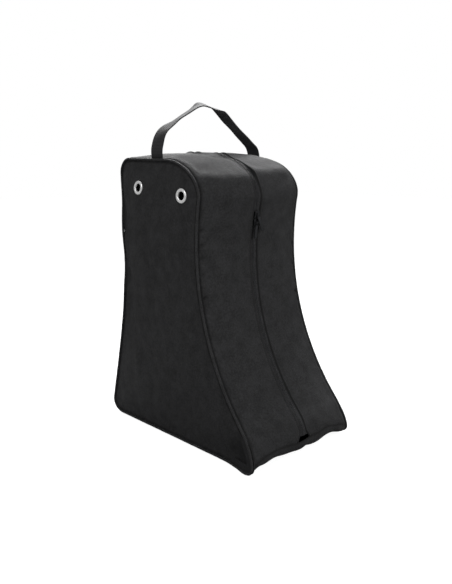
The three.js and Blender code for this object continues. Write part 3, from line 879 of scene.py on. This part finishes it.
def gusset(side, name, seed):
    """One half of the front strip, with its fold along the zip."""
    xs = side * (ZIP_FOLD_X + uneven_columns())
    points = strip_points(front_walk, xs, gusset_lift(side, seed))
    opened = fold_x(points[..., 2], points[..., 1]) - ZIP_FOLD_X
    share = np.clip(1 - (np.abs(points[..., 0]) - ZIP_FOLD_X) / OPENING_REACH, 0, 1)
    points[..., 0] += side * opened * share
    points = toe_corners(front_rise(points))
    uv = strip_map(xs, front_walk["length"])
    # Painted shade in the seam creases and along the seams, stitches and folds
    creases = seam_creases(side, SEAM_X - np.abs(points[..., 0]), points[..., 2])
    groove = strip_painted_shade(xs, front_walk["length"], from_fold=np.abs(xs) - ZIP_FOLD_X)
    groove = np.clip(groove + CREASE_PAINTED_SHADE * creases, 0, 1)
    strip = cloth_grid(name, points, uv, CLOTH_LOOK, (0, -1, 0), groove=groove)
    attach(strip, "bag")
    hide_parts(name)
    return strip


GUSSET_SEED = 10
gussets = {side: gusset(side, word + "_gusset", GUSSET_SEED + side) for side, word in SIDES.items()}

# Heights of the shapes in the base and back, mm
BASE_SLOW, BASE_SMALL, EDGE_WAVE = 3.0, 0.8, 2.4
BASE_SLOW_SEED, BASE_SMALL_SEED = 21, 23
# The lip under the front edge of the base: height, waves as along the zip, and between which heights
LIP, LIP_WAVES, LIP_Z = 1.8, [(0.7, 13, 0), (0.4, 6.2, 1)], (2, 12)


def base_lift(x, y, z, length):
    """Height of the cloth over the plain base and back, mm."""
    from_seam = SEAM_X - np.abs(x)
    here = np.stack([x, y, z], -1)
    end_seams = (1 - fade(length, 14)) * (1 - fade(back_walk["length"][-1] - length, 7))
    inside = (1 - fade(from_seam, 14)) * end_seams
    off_floor = np.clip(z / 20, 0, 1) * end_seams
    slow = swell(here * [0.8, 0.6, 0.6], 60, BASE_SLOW_SEED) * BASE_SLOW * inside * off_floor
    small = swell(here, 18, BASE_SMALL_SEED) * BASE_SMALL * off_floor
    at_edge = fade(from_seam - 10, 12) * window(z, *WAIST_Z, 12) * (y > 0)
    back_edge = EDGE_WAVE * np.sin(z / 14 + 1) * at_edge
    waves = sum(height * np.sin(x / length_of_wave + phase) for height, length_of_wave, phase in LIP_WAVES)
    lip = (LIP + waves) * window(z, *LIP_Z, 1.2) * (y < BASE_Y)
    tuck = -GROOVE_DEPTH * fade(from_seam - GROOVE_AT, GROOVE_HALF)
    tuck = tuck - END_SINK * fade(z - BASE_SEAM_Z, 1.2) * (y < BASE_Y)
    return slow + small + back_edge + lip + tuck * np.clip(z / 6, 0, 1)


def base_and_back():
    """The strip that makes the sole and the back."""
    edge = np.linspace(NEAR_SEAM, GUSSET_EDGE, 12)[1:]
    xs = np.concatenate([-edge[::-1], np.linspace(-NEAR_SEAM, NEAR_SEAM, 70), edge])
    points = strip_points(back_walk, xs, base_lift)
    points[..., 2] = np.maximum(points[..., 2], 0)
    points = toe_corners(front_rise(points))
    uv = strip_map(xs, back_walk["length"])
    # Painted shade along the side and end seams
    groove = strip_painted_shade(xs, back_walk["length"])
    strip = cloth_grid("base_and_back_panel", points, uv, CLOTH_LOOK, (0, 1, 0), groove=groove)
    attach(strip, "bag")
    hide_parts("base_and_back_panel")
    return strip


base = base_and_back()
print("strip faces:", len(gussets[-1].data.polygons), len(base.data.polygons))

# %% [markdown]
# ## Piping and the seams inside
# Piping is a strip of the same cloth folded round a thin cord and sewn into each side seam. Node tubes
# follow the seam line: one for the cloth and a thinner one for the cord inside. Inside the bag the raw
# edges of the seam are bound with tape, which stands a centimetre into the bag.

# %% Piping, cord and binding
PIPING_RADIUS, CORD_RADIUS = 1.6, 1.0
PIPING_SINK = 0.8  # how far inside the seam line the piping lies
PIPING_WOBBLE = 0.7  # how uneven its cloth is
PIPING_DRIFT = 1.2  # how far the back seam wanders sideways at the waist
BINDING_X, BINDING_DEPTHS, BINDING_THICKNESS = 98.6, (2.6, 12), 1.4


def seam_path(side):
    """The piping's path round one side of the bag, mm."""
    place = loop_walk["seam"][:-1] - loop_walk["seam_normal"][:-1] * PIPING_SINK
    along = loop_walk["length"][:-1]
    at_waist = window(place[:, 1], *WAIST_Z, 12) * (place[:, 0] > 60)
    drift = PIPING_DRIFT * np.sin(along / 17 + side) * at_waist
    x = np.full(len(place), side * SEAM_X) + side * drift
    return toe_corners(np.column_stack([x, place]))


for side, word in SIDES.items():
    for part, radius, wobble, look, slot_name in (
            ("cover", PIPING_RADIUS, PIPING_WOBBLE, PIPING_LOOK, "piping"),
            ("cord", CORD_RADIUS, 0.0, CORD_LOOK, "piping_core")):
        tube = path_object(f"{word}_piping_{part}", seam_path(side), cyclic=True)
        run_nodes(tube, PIPING, look, radius=radius * MM, wobble=wobble * MM)
        tube.data.uv_layers.new(name="UVMap")
        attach(tube, "bag")
        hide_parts(f"{word}_piping_{part}")


def seam_binding(side, name):
    """Tape round the raw edges of a side seam, inside the bag."""
    depths = np.linspace(*BINDING_DEPTHS, 5)
    seam, normal = loop_walk["seam"], loop_walk["seam_normal"]
    yz = seam[:, None] - normal[:, None] * depths[None, :, None]
    x = np.full(yz.shape[:2], side * BINDING_X)
    points = toe_corners(np.concatenate([x[..., None], yz], 2))
    uv = strip_map(depths, loop_walk["length"])
    tape = cloth_grid(name, points, uv, BINDING_LOOK, (-side, 0, 0), thickness=BINDING_THICKNESS)
    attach(tape, "bag")
    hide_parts(name)


for side, word in SIDES.items():
    seam_binding(side, word + "_seam_binding")
print("piping and bindings done")

# %% [markdown]
# ## The zip
# A coil zip is a pair of woven tapes, each with a nylon spiral sewn along its edge. Seen from outside, the
# spiral is a row of small rounded bars, and the two rows mesh. The node group lays one bar every 1.3 mm
# along each edge, the second row shifted by half a pitch. The stitches beside the zip use the same node
# group with a longer, thinner bead.

# %% Tapes, coils and stitches
COIL_PITCH = 1.3
COIL_X = 1.25  # middle of the zip to the middle of a coil bar
COIL_BAR = (0.5, 1.6, 0.6)  # half sizes of a bar along the zip, across it and outward
TAPE_DEPTH, COIL_SINK = 1.0, 0.75
TAPE_EDGES, TAPE_THICKNESS = (0.5, 13), 0.7
# Distance from stitch to stitch, half a stitch's length as a share of it, and its other half sizes
STITCH_PITCH, STITCH_SHARE, STITCH_HALF = 3.2, 0.42, (0.26, 0.14)
STITCH_FOLLOW = 0.88  # the stitches move this share of the way with the opened fold
TAPE_START = 13  # the tapes end this far above the strips' lower edge, which leaves a small open pocket


def zip_lift(sink):
    """Height of something that lies sink mm under the folds along the zip."""
    return lambda x, y, z, length: zip_wave(y, z) + top_swell(x, y) - sink


def zip_line(x, sink, start):
    """Path along the middle line at x, sunk below the surface, with its outward normals."""
    points = strip_points(front_walk, np.array([float(x)]), zip_lift(sink))[:, 0]
    normal = front_walk["middle_normal"]
    outs = np.column_stack([np.zeros(len(points)), normal])
    above = front_walk["length"] >= start
    return points[above], outs[above]


def zip_tape(side, name):
    """The woven tape of one half of the zip."""
    xs = side * np.linspace(*TAPE_EDGES, 6)
    above = front_walk["length"] >= TAPE_START
    points = strip_points(front_walk, xs, zip_lift(TAPE_DEPTH))[above]
    uv = strip_map(xs, front_walk["length"][above])
    tape = cloth_grid(name, points, uv, TAPE_LOOK, (0, -1, 0), thickness=TAPE_THICKNESS)
    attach(tape, "bag")
    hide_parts(name)


def zip_coil(side, name):
    """The row of coil bars of one half; the right row starts half a pitch later, so that the two mesh."""
    shift = COIL_PITCH / 2 if side > 0 else 0
    points, outs = zip_line(side * COIL_X, COIL_SINK, TAPE_START + 1 + shift)
    coil = path_object(name, points, outs)
    run_nodes(coil, BEADS, COIL_LOOK, pitch=COIL_PITCH * MM, size=tuple(half * MM for half in COIL_BAR))
    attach(coil, "bag")
    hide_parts(name)


def zip_stitches(side, name):
    """The stitches that hold down the fold beside the zip."""
    xs = np.array([side * (ZIP_FOLD_X + STITCH_X)])
    line = strip_points(front_walk, xs, gusset_lift(side, GUSSET_SEED + side))[:, 0]
    line[:, 0] += side * (fold_x(line[:, 2], line[:, 1]) - ZIP_FOLD_X) * STITCH_FOLLOW
    line = front_rise(line)
    outs = np.column_stack([np.zeros(len(line)), front_walk["middle_normal"]])
    row = path_object(name, line, outs)
    size = (STITCH_PITCH * STITCH_SHARE * MM, *(half * MM for half in STITCH_HALF))
    run_nodes(row, BEADS, THREAD_LOOK, pitch=STITCH_PITCH * MM, size=size)
    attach(row, "bag")


for side, word in SIDES.items():
    zip_tape(side, word + "_zip_tape")
    zip_coil(side, word + "_zip_coil")
    zip_stitches(side, word + "_zip_stitches")
print("zip done")

# %% [markdown]
# ## Sliders and pullers
# A two-way zip has two sliders that meet nose to nose. Each is a cast body: a top plate with rounded
# shoulders, side wings round the coil, a lower plate inside the bag, and a bail over which the flat puller
# hangs. Small cast shapes are quickest as plates and boxes with rounded edges. Each slider is built flat
# and then laid on the circle of the front at its own angle, so that it rides exactly along its hinge.

# %% Two sliders and two pullers
ZIP_CENTRE = np.array(MIDDLE_LINE["arc_centre"], float)
ZIP_RADIUS = MIDDLE_LINE["arc_radius"]
PIVOT_OUT = 3.15  # the puller's pivot over the zip
UPPER_SLIDER_Z = 341  # height of the upper slider
SLIDER_GAP = 12.4  # distance between the middles of the two sliders, which meet nose to nose
# A slider, mm: half its length, half its width at the tail and how much wider the shoulders are
SLIDER_HALF, TAIL_HALF, SHOULDER = 5.8, 3.9, 0.8
END_ROUND, END_NARROW = 1.6, 0.35  # length of the rounded ends, and how much narrower they are
TOP_PLATE, LOWER_PLATE, PLATE_BEVEL = (0.3, 1.6), (-4.2, -2.9), 0.4
WING_X, WING_HALF, WING_Z = (3.6, 4.5), 4.6, (-1.4, 0.5)
POST_START, POST_HALF, POST_Z = 1.5, 0.3, (-3.4, 0.7)  # the wedge at the nose that parts the two coils
BAIL_HALF, BAIL_HEIGHT, BAIL_FOOT, BAIL_RADIUS, BAIL_WIDE = 2.5, 4.45, 1.3, 0.42, 0.45
# A puller, mm: half its width and thickness, its eye, and its rounded end with a raised rim
TAB_HALF, TAB_THICK, EYE_LENGTH, EYE_INNER, TAB_ROUND = 2.3, 0.5, 4.0, 1.55, 2.7
RIM_SHARE, RIM_HALF, RIM_THICK, RIM_LENGTH = 0.86, 2.1, 0.72, 4.5


def zip_frame(angle):
    """Turns slider coordinates (across, up the zip, out of the bag) in mm into the bag's frame in metres."""
    cos, sin = math.cos(angle), math.sin(angle)
    y, z = ZIP_CENTRE + ZIP_RADIUS * np.array((cos, sin))
    turn = Matrix(((1, 0, 0), (0, -sin, -cos), (0, cos, -sin))).to_4x4()
    return Matrix.Translation(Vector((0, y, z)) * MM) @ turn @ Matrix.Scale(MM, 4)


def joined(parts):
    """One mesh from several bmesh pieces."""
    whole = bmesh.new()
    for part in parts:
        held = bpy.data.meshes.new("held")
        part.to_mesh(held)
        part.free()
        whole.from_mesh(held)
        bpy.data.meshes.remove(held)
    return whole


def plate(outline, low, high, bevel):
    """A flat plate from an outline (x, y) in mm, with rounded edges."""
    work = bmesh.new()
    bottom = [work.verts.new((x, y, low)) for x, y in outline]
    top = [work.verts.new((x, y, high)) for x, y in outline]
    work.faces.new(bottom[::-1])
    work.faces.new(top)
    for i in range(len(outline)):
        j = (i + 1) % len(outline)
        work.faces.new((bottom[i], bottom[j], top[j], top[i]))
    rims = [edge for edge in work.edges if edge.verts[0].co.z == edge.verts[1].co.z]
    bmesh.ops.bevel(work, geom=rims, offset=bevel, segments=3, profile=0.6, affect="EDGES")
    return work


def slider_outline(nose):
    """A bell shape: wide, rounded shoulders at the nose and a narrower tail."""
    points = []
    for t in np.linspace(0, 1, 14):
        y = -SLIDER_HALF + 2 * SLIDER_HALF * t
        toward_nose = t if nose > 0 else 1 - t
        half = TAIL_HALF + SHOULDER * math.sin(min(toward_nose * 1.25, 1) * math.pi / 2)
        end = min(t, 1 - t) * 2 * SLIDER_HALF
        half *= math.sqrt(1 - (1 - min(end / END_ROUND, 1)) ** 2) * END_NARROW + 1 - END_NARROW
        points.append((half, y))
    return points + [(-x, y) for x, y in reversed(points)]


def box_piece(low, high, bevel):
    """A box with rounded edges between two corners, mm."""
    outline = [(low[0], low[1]), (high[0], low[1]), (high[0], high[1]), (low[0], high[1])]
    return plate(outline, low[2], high[2], bevel)


BAIL_SIDES = 10


def bail():
    """A rounded bar that rises from the top plate, runs along it and comes down again."""
    work = bmesh.new()
    across = Vector((1, 0, 0))
    rings = []
    for t in np.linspace(0, math.pi, 15):
        rise = (BAIL_HEIGHT - BAIL_FOOT) * math.sin(t) ** 0.6
        centre = Vector((0, -BAIL_HALF * math.cos(t), BAIL_FOOT + rise))
        out = Vector((0, -math.cos(t), math.sin(t))).normalized()
        ring = []
        for a in np.linspace(0, 2 * math.pi, BAIL_SIDES, endpoint=False):
            point = centre + across * BAIL_WIDE * math.cos(a) + out * BAIL_RADIUS * math.sin(a)
            ring.append(work.verts.new(point))
        rings.append(ring)
    for one, other in zip(rings, rings[1:]):
        for i in range(BAIL_SIDES):
            j = (i + 1) % BAIL_SIDES
            work.faces.new((one[i], one[j], other[j], other[i]))
    work.faces.new(rings[0][::-1])
    work.faces.new(rings[-1])
    return work


def placed(name, work, matrix, look, body):
    """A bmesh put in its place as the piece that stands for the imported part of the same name."""
    bmesh.ops.recalc_face_normals(work, faces=work.faces)
    work.transform(matrix)
    mesh = bpy.data.meshes.new(name)
    work.to_mesh(mesh)
    work.free()
    obj = smooth(new_object(name, mesh, look), 35)
    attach(obj, body)
    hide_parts(name)


def slider(word, angle, nose):
    """A slider whose nose points up the zip if nose is 1 and down if it is -1."""
    outline = slider_outline(nose)
    post_low, post_high = (POST_START, SLIDER_HALF) if nose > 0 else (-SLIDER_HALF, -POST_START)
    (inner, outer), (wing_low, wing_high) = WING_X, WING_Z
    work = joined([
        plate(outline, *TOP_PLATE, PLATE_BEVEL),
        plate(outline, *LOWER_PLATE, PLATE_BEVEL),
        box_piece((-outer, -WING_HALF, wing_low), (-inner, WING_HALF, wing_high), 0.15),
        box_piece((inner, -WING_HALF, wing_low), (outer, WING_HALF, wing_high), 0.15),
        box_piece((-POST_HALF, post_low + 0.2, POST_Z[0]), (POST_HALF, post_high - 0.2, POST_Z[1]), 0.05),
        bail(),
    ])
    placed(word + "_zip_slider", work, zip_frame(angle), ZIP_METAL, word + "_slider")


def puller(word, angle, length, lean):
    """A flat tab with a square eye at the bail and a thicker rounded end."""
    eye = joined([
        box_piece((-TAB_HALF, -0.5, -TAB_THICK), (TAB_HALF, 0.5, TAB_THICK), 0.25),
        box_piece((-TAB_HALF, -EYE_LENGTH, -TAB_THICK), (-EYE_INNER, 0.3, TAB_THICK), 0.25),
        box_piece((EYE_INNER, -EYE_LENGTH, -TAB_THICK), (TAB_HALF, 0.3, TAB_THICK), 0.25),
    ])
    end = length - TAB_ROUND
    turn = np.linspace(math.pi, 2 * math.pi, 13)
    curve = [(TAB_ROUND * math.cos(a), -end + TAB_ROUND * math.sin(a)) for a in turn]
    tab_top = -EYE_LENGTH + 0.5
    tab = plate([(-TAB_HALF, tab_top), *curve, (TAB_HALF, tab_top)], -TAB_THICK, TAB_THICK, 0.3)
    rim_curve = [(x * RIM_SHARE, -end + (y + end) * RIM_SHARE) for x, y in curve]
    rim_top = [(RIM_HALF, -end + RIM_LENGTH), (-RIM_HALF, -end + RIM_LENGTH)]
    work = joined([eye, tab, plate(rim_curve + rim_top, -RIM_THICK, RIM_THICK, 0.22)])
    pivot = zip_frame(angle) @ Vector((0, 0, PIVOT_OUT))
    stand = Matrix.Rotation(math.pi / 2, 4, "X")
    hang = Matrix.Rotation(-lean, 4, "Y")
    matrix = Matrix.Translation(pivot) @ hang @ stand @ Matrix.Scale(MM, 4)
    placed(word + "_zip_puller", work, matrix, ZIP_METAL, word + "_puller")


upper_angle = math.asin((UPPER_SLIDER_Z - ZIP_CENTRE[1]) / ZIP_RADIUS)
lower_angle = upper_angle - SLIDER_GAP / ZIP_RADIUS
slider("upper", upper_angle, nose=-1)
slider("lower", lower_angle, nose=1)
puller("upper", upper_angle, length=27, lean=math.radians(24))
puller("lower", lower_angle, length=23, lean=math.radians(-8))
print("sliders and pullers done")

# %% [markdown]
# ## Eyelets
# Each eyelet is pressed from one sheet: a domed flange on the outside and a short barrel through the
# cloth, rolled over a flat washer inside. Both are turned shapes, so a profile spun about the hole's axis
# makes them.

# %% Four eyelets and their washers
SPIN_STEPS = 48
TILT_REACH = 9.0  # the panel's slope is measured this far to each side of the hole
PRESSED_IN = 0.1  # how far the eyelet presses into the cloth
# The domed flange: the radius of its middle, half its width, its base over the panel and its height, mm
DOME_RADIUS, DOME_HALF, DOME_BASE, DOME_HEIGHT = 8.15, 2.15, 0.3, 1.5
THROAT = [(6.0, 0.1), (6.8, -1.3), (7.1, -1.3), (6.6, 0.0)]
RIM_BACK = (9.9, -0.1)
WASHER = [(7.4, -2.5), (9.8, -2.5), (9.8, -1.8), (7.4, -1.8)]


def panel_tilt(place, seed):
    """Height of the panel at (y, z), mm, and how steeply it rises along y and along z."""
    y, z = place
    around = [(0, 0), (-TILT_REACH, 0), (TILT_REACH, 0), (0, -TILT_REACH), (0, TILT_REACH)]
    spots = np.array([(y + along, z + up) for along, up in around], float)[None]
    lift = panel_lift(spots[..., 0], spots[..., 1], seam_distance(spots), seed)[0]
    across = 2 * TILT_REACH
    return lift[1:].mean() - PRESSED_IN, (lift[2] - lift[1]) / across, (lift[4] - lift[3]) / across


def spun(name, profile, side, place, tilt):
    """A closed profile of (radius, height) spun about the panel's outward direction at (y, z)."""
    work = bmesh.new()
    rings = []
    lift, rise_y, rise_z = tilt
    for turn in np.arange(SPIN_STEPS) * 2 * math.pi / SPIN_STEPS:
        along, up = math.cos(turn), math.sin(turn)
        ring = []
        for radius, height in profile:
            x = side * (SEAM_X + lift + height + radius * (rise_y * along + rise_z * up))
            point = Vector((x, place[0] + radius * along, place[1] + radius * up))
            ring.append(work.verts.new(point * MM))
        rings.append(ring)
    for one, other in zip(rings, rings[1:] + rings[:1]):
        for i in range(len(profile)):
            j = (i + 1) % len(profile)
            work.faces.new((one[i], one[j], other[j], other[i]))
    placed(name, work, Matrix.Identity(4), NICKEL, "bag")


def eyelet_profile():
    """Domed flange outside, and a barrel through the cloth."""
    dome = [(DOME_RADIUS + DOME_HALF * math.cos(a), DOME_BASE + DOME_HEIGHT * math.sin(a))
            for a in np.linspace(0, math.pi, 13)]
    return dome[:-1] + THROAT + [RIM_BACK]


for side, word in SIDES.items():
    for spot, place in EYELETS.items():
        tilt = panel_tilt(place, PANEL_SEEDS[side])
        spun(f"{word}_{spot}_eyelet", eyelet_profile(), side, place, tilt)
        spun(f"{word}_{spot}_washer", WASHER, side, place, tilt)
print("eyelets done")

# %% [markdown]
# ## Carry handle
# The handle is one length of 25 mm webbing. Each end goes down through the side seam and is sewn inside,
# so the band stands up on two posts and arches over the bag, with a soft peak where it has been folded. It is
# one mesh. A few points give the arch, because a folded band keeps its own shape and follows no rule.

# %% One band of webbing
HANDLE_Y, HANDLE_HALF, HANDLE_THICKNESS = 36.0, 12.5, 1.7
HANDLE_FOOT_Z, FOOT_PAINTED_SHADE_HALF = 421, 5  # where the band leaves the seam, and the half width of the painted shade there
HANDLE_FREE_Z = (428, 600)  # the band is free of the seam between these heights
LEFT_LEAN, PEAK_LEAN, RIGHT_LEAN = 10, 17, 6  # degrees that the band is twisted in its arms and at its peak
LEFT_ARM, PEAK, RIGHT_ARM = (-72, -26, 4), (-17, 20, 2.5), (30, 78, 7)  # from and to along x, and how softly
HANDLE_CUP, HANDLE_DRIFT, HANDLE_RIPPLE = 0.5, 1.2, 0.35  # hollow across, drift along y and unevenness, mm
HANDLE_LINE = [(-97.2, 393), (-97.6, 408), (-100.3, 421), (-99.5, 438), (-88, 461), (-53, 482),
               (-15, 500.5), (4, 497.5), (22, 493.5), (44, 476),
               (82, 448), (95, 437), (100.3, 421), (97.6, 408), (97.2, 393)]


def smooth_line(points, step):
    """An evenly spaced smooth line through given points."""
    points = np.array(points, float)
    padded = np.vstack([2 * points[0] - points[1], points, 2 * points[-1] - points[-2]])
    fine = []
    for p0, p1, p2, p3 in zip(padded, padded[1:], padded[2:], padded[3:]):
        t = np.linspace(0, 1, 30, endpoint=False)[:, None]
        fine.append(0.5 * (2 * p1 + (p2 - p0) * t + (2 * p0 - 5 * p1 + 4 * p2 - p3) * t**2
                           + (3 * p1 - p0 - 3 * p2 + p3) * t**3))
    fine = np.vstack([*fine, points[-1:]])
    length = np.concatenate([[0], np.cumsum(np.linalg.norm(np.diff(fine, axis=0), axis=1))])
    places = np.linspace(0, length[-1], int(length[-1] / step) + 1)
    return np.stack([np.interp(places, length, fine[:, k]) for k in (0, 1)], 1), places


def carry_handle():
    """Makes the band and returns its length in mm."""
    line, length = smooth_line(HANDLE_LINE, 2.0)
    tangent = np.gradient(line, axis=0)
    tangent /= np.linalg.norm(tangent, axis=1)[:, None]
    across = np.linspace(-1, 1, 15)
    free = window(line[:, 1], *HANDLE_FREE_Z, 4)
    x_along = line[:, 0]
    # The band is turned one way in its two arms and the other way at its peak
    arms = LEFT_LEAN * window(x_along, *LEFT_ARM) - RIGHT_LEAN * window(x_along, *RIGHT_ARM)
    twist = -np.radians(arms - PEAK_LEAN * window(x_along, *PEAK))
    cup = HANDLE_CUP * free[:, None] * (across**2)[None, :]
    drift = free * HANDLE_DRIFT * np.sin(length / 55)
    y = HANDLE_Y + drift[:, None] + HANDLE_HALF * across[None, :] * np.cos(twist)[:, None]
    off = HANDLE_HALF * across[None, :] * np.sin(twist)[:, None] - cup
    ripple = HANDLE_RIPPLE * np.sin(length / 6.0)[:, None] * np.sin(across * 2.5)[None, :]
    off = off + free[:, None] * ripple
    x = line[:, 0][:, None] - tangent[:, 1][:, None] * off
    z = line[:, 1][:, None] + tangent[:, 0][:, None] * off
    points = np.stack([x, y, z], -1)
    uv = strip_map(HANDLE_HALF * across, length)
    # Painted shade on the band where it goes into the seam
    foot = fade(z - HANDLE_FOOT_Z, FOOT_PAINTED_SHADE_HALF)
    band = cloth_grid("carry_handle", points, uv, WEBBING_LOOK, (0, 0, 1), HANDLE_THICKNESS, groove=foot)
    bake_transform(band)
    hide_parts("carry_handle", "left_handle_tail", "right_handle_tail")
    return length[-1]


print("handle band %.0f mm long" % carry_handle())

# %% [markdown]
# ## Floor, light and camera
# A pale floor and three soft lights show black cloth best. The strongest stands high behind the bag on its
# right, so that the top catches the light, and two weaker ones lift the front and the left side out of the
# dark. The camera stands off the bag's front left corner, level with its top, and looks a little down.

# %% Studio
WORLD_FILL = 0.31  # brightness of the surroundings as a light; the camera sees them white
FLOOR_GLOW = 0.93  # keeps the floor white for the camera, and lets a faint shadow show


def seen_white(nodes, link, strength_socket, seen, lit):
    """Sets a strength that is one value where the camera looks straight at it and another as a light."""
    path = nodes.new("ShaderNodeLightPath")
    strength = nodes.new("ShaderNodeMapRange")
    strength.inputs["To Min"].default_value = lit
    strength.inputs["To Max"].default_value = seen
    link(path.outputs["Is Camera Ray"], strength.inputs["Value"])
    link(strength.outputs[0], strength_socket)


FLOOR_HALF = 6  # metres


def studio():
    """The floor and the white surroundings."""
    scene = bpy.context.scene
    scene.view_settings.view_transform = "Standard"
    world = bpy.data.worlds.new("studio")
    world.use_nodes = True
    scene.world = world
    sky = world.node_tree.nodes["Background"]
    sky.inputs["Color"].default_value = (1, 1, 1, 1)
    seen_white(world.node_tree.nodes, world.node_tree.links.new, sky.inputs["Strength"], 1.0, WORLD_FILL)
    floor_mesh = bpy.data.meshes.new("floor")
    corners = [(FLOOR_HALF * x, FLOOR_HALF * y, 0) for x, y in ((-1, -1), (1, -1), (1, 1), (-1, 1))]
    floor_mesh.from_pydata(corners, [], [(0, 1, 2, 3)])
    floor_look, nodes, link, surface = shader("floor", (0.3, 0.3, 0.3), 0.9, Specular_IOR_Level=0.0)
    surface.inputs["Emission Color"].default_value = (1, 1, 1, 1)
    seen_white(nodes, link, surface.inputs["Emission Strength"], FLOOR_GLOW, 0.0)
    floor = new_object("floor", floor_mesh, floor_look)


def area_light(name, place, aim, size, power):
    """A rectangular light at a place that faces another; size is its two sides in metres."""
    data = bpy.data.lights.new(name, "AREA")
    data.shape = "RECTANGLE"
    data.size, data.size_y = size
    data.energy = power
    lamp = bpy.data.objects.new(name, data)
    bpy.context.scene.collection.objects.link(lamp)
    lamp.location = place
    lamp.rotation_euler = (Vector(aim) - Vector(place)).to_track_quat("-Z", "Y").to_euler()


CAMERA_PLACE, CAMERA_LOOKS = (-0.690, -0.735, 0.418), (0.6725, 0.7135, -0.1966)  # metres, and a direction
CAMERA_LENS = 40.5  # mm, on a sensor 36 mm wide


def camera():
    """The camera, which is also the scene's own."""
    data = bpy.data.cameras.new("camera")
    data.lens = CAMERA_LENS
    data.sensor_width = 36
    view = bpy.data.objects.new("camera", data)
    bpy.context.scene.collection.objects.link(view)
    view.location = CAMERA_PLACE
    view.rotation_euler = Vector(CAMERA_LOOKS).to_track_quat("-Z", "Y").to_euler()
    bpy.context.scene.camera = view


studio()
area_light("key", (0.62, 0.78, 1.55), aim=(0, 0, 0.4), size=(0.9, 0.9), power=46)
area_light("front", (0.45, -1.7, 0.95), aim=(0, 0, 0.3), size=(0.8, 1.0), power=12)
area_light("left", (-1.4, -0.5, 1.25), aim=(0, 0, 0.3), size=(0.5, 0.9), power=10)
camera()
print("studio ready")
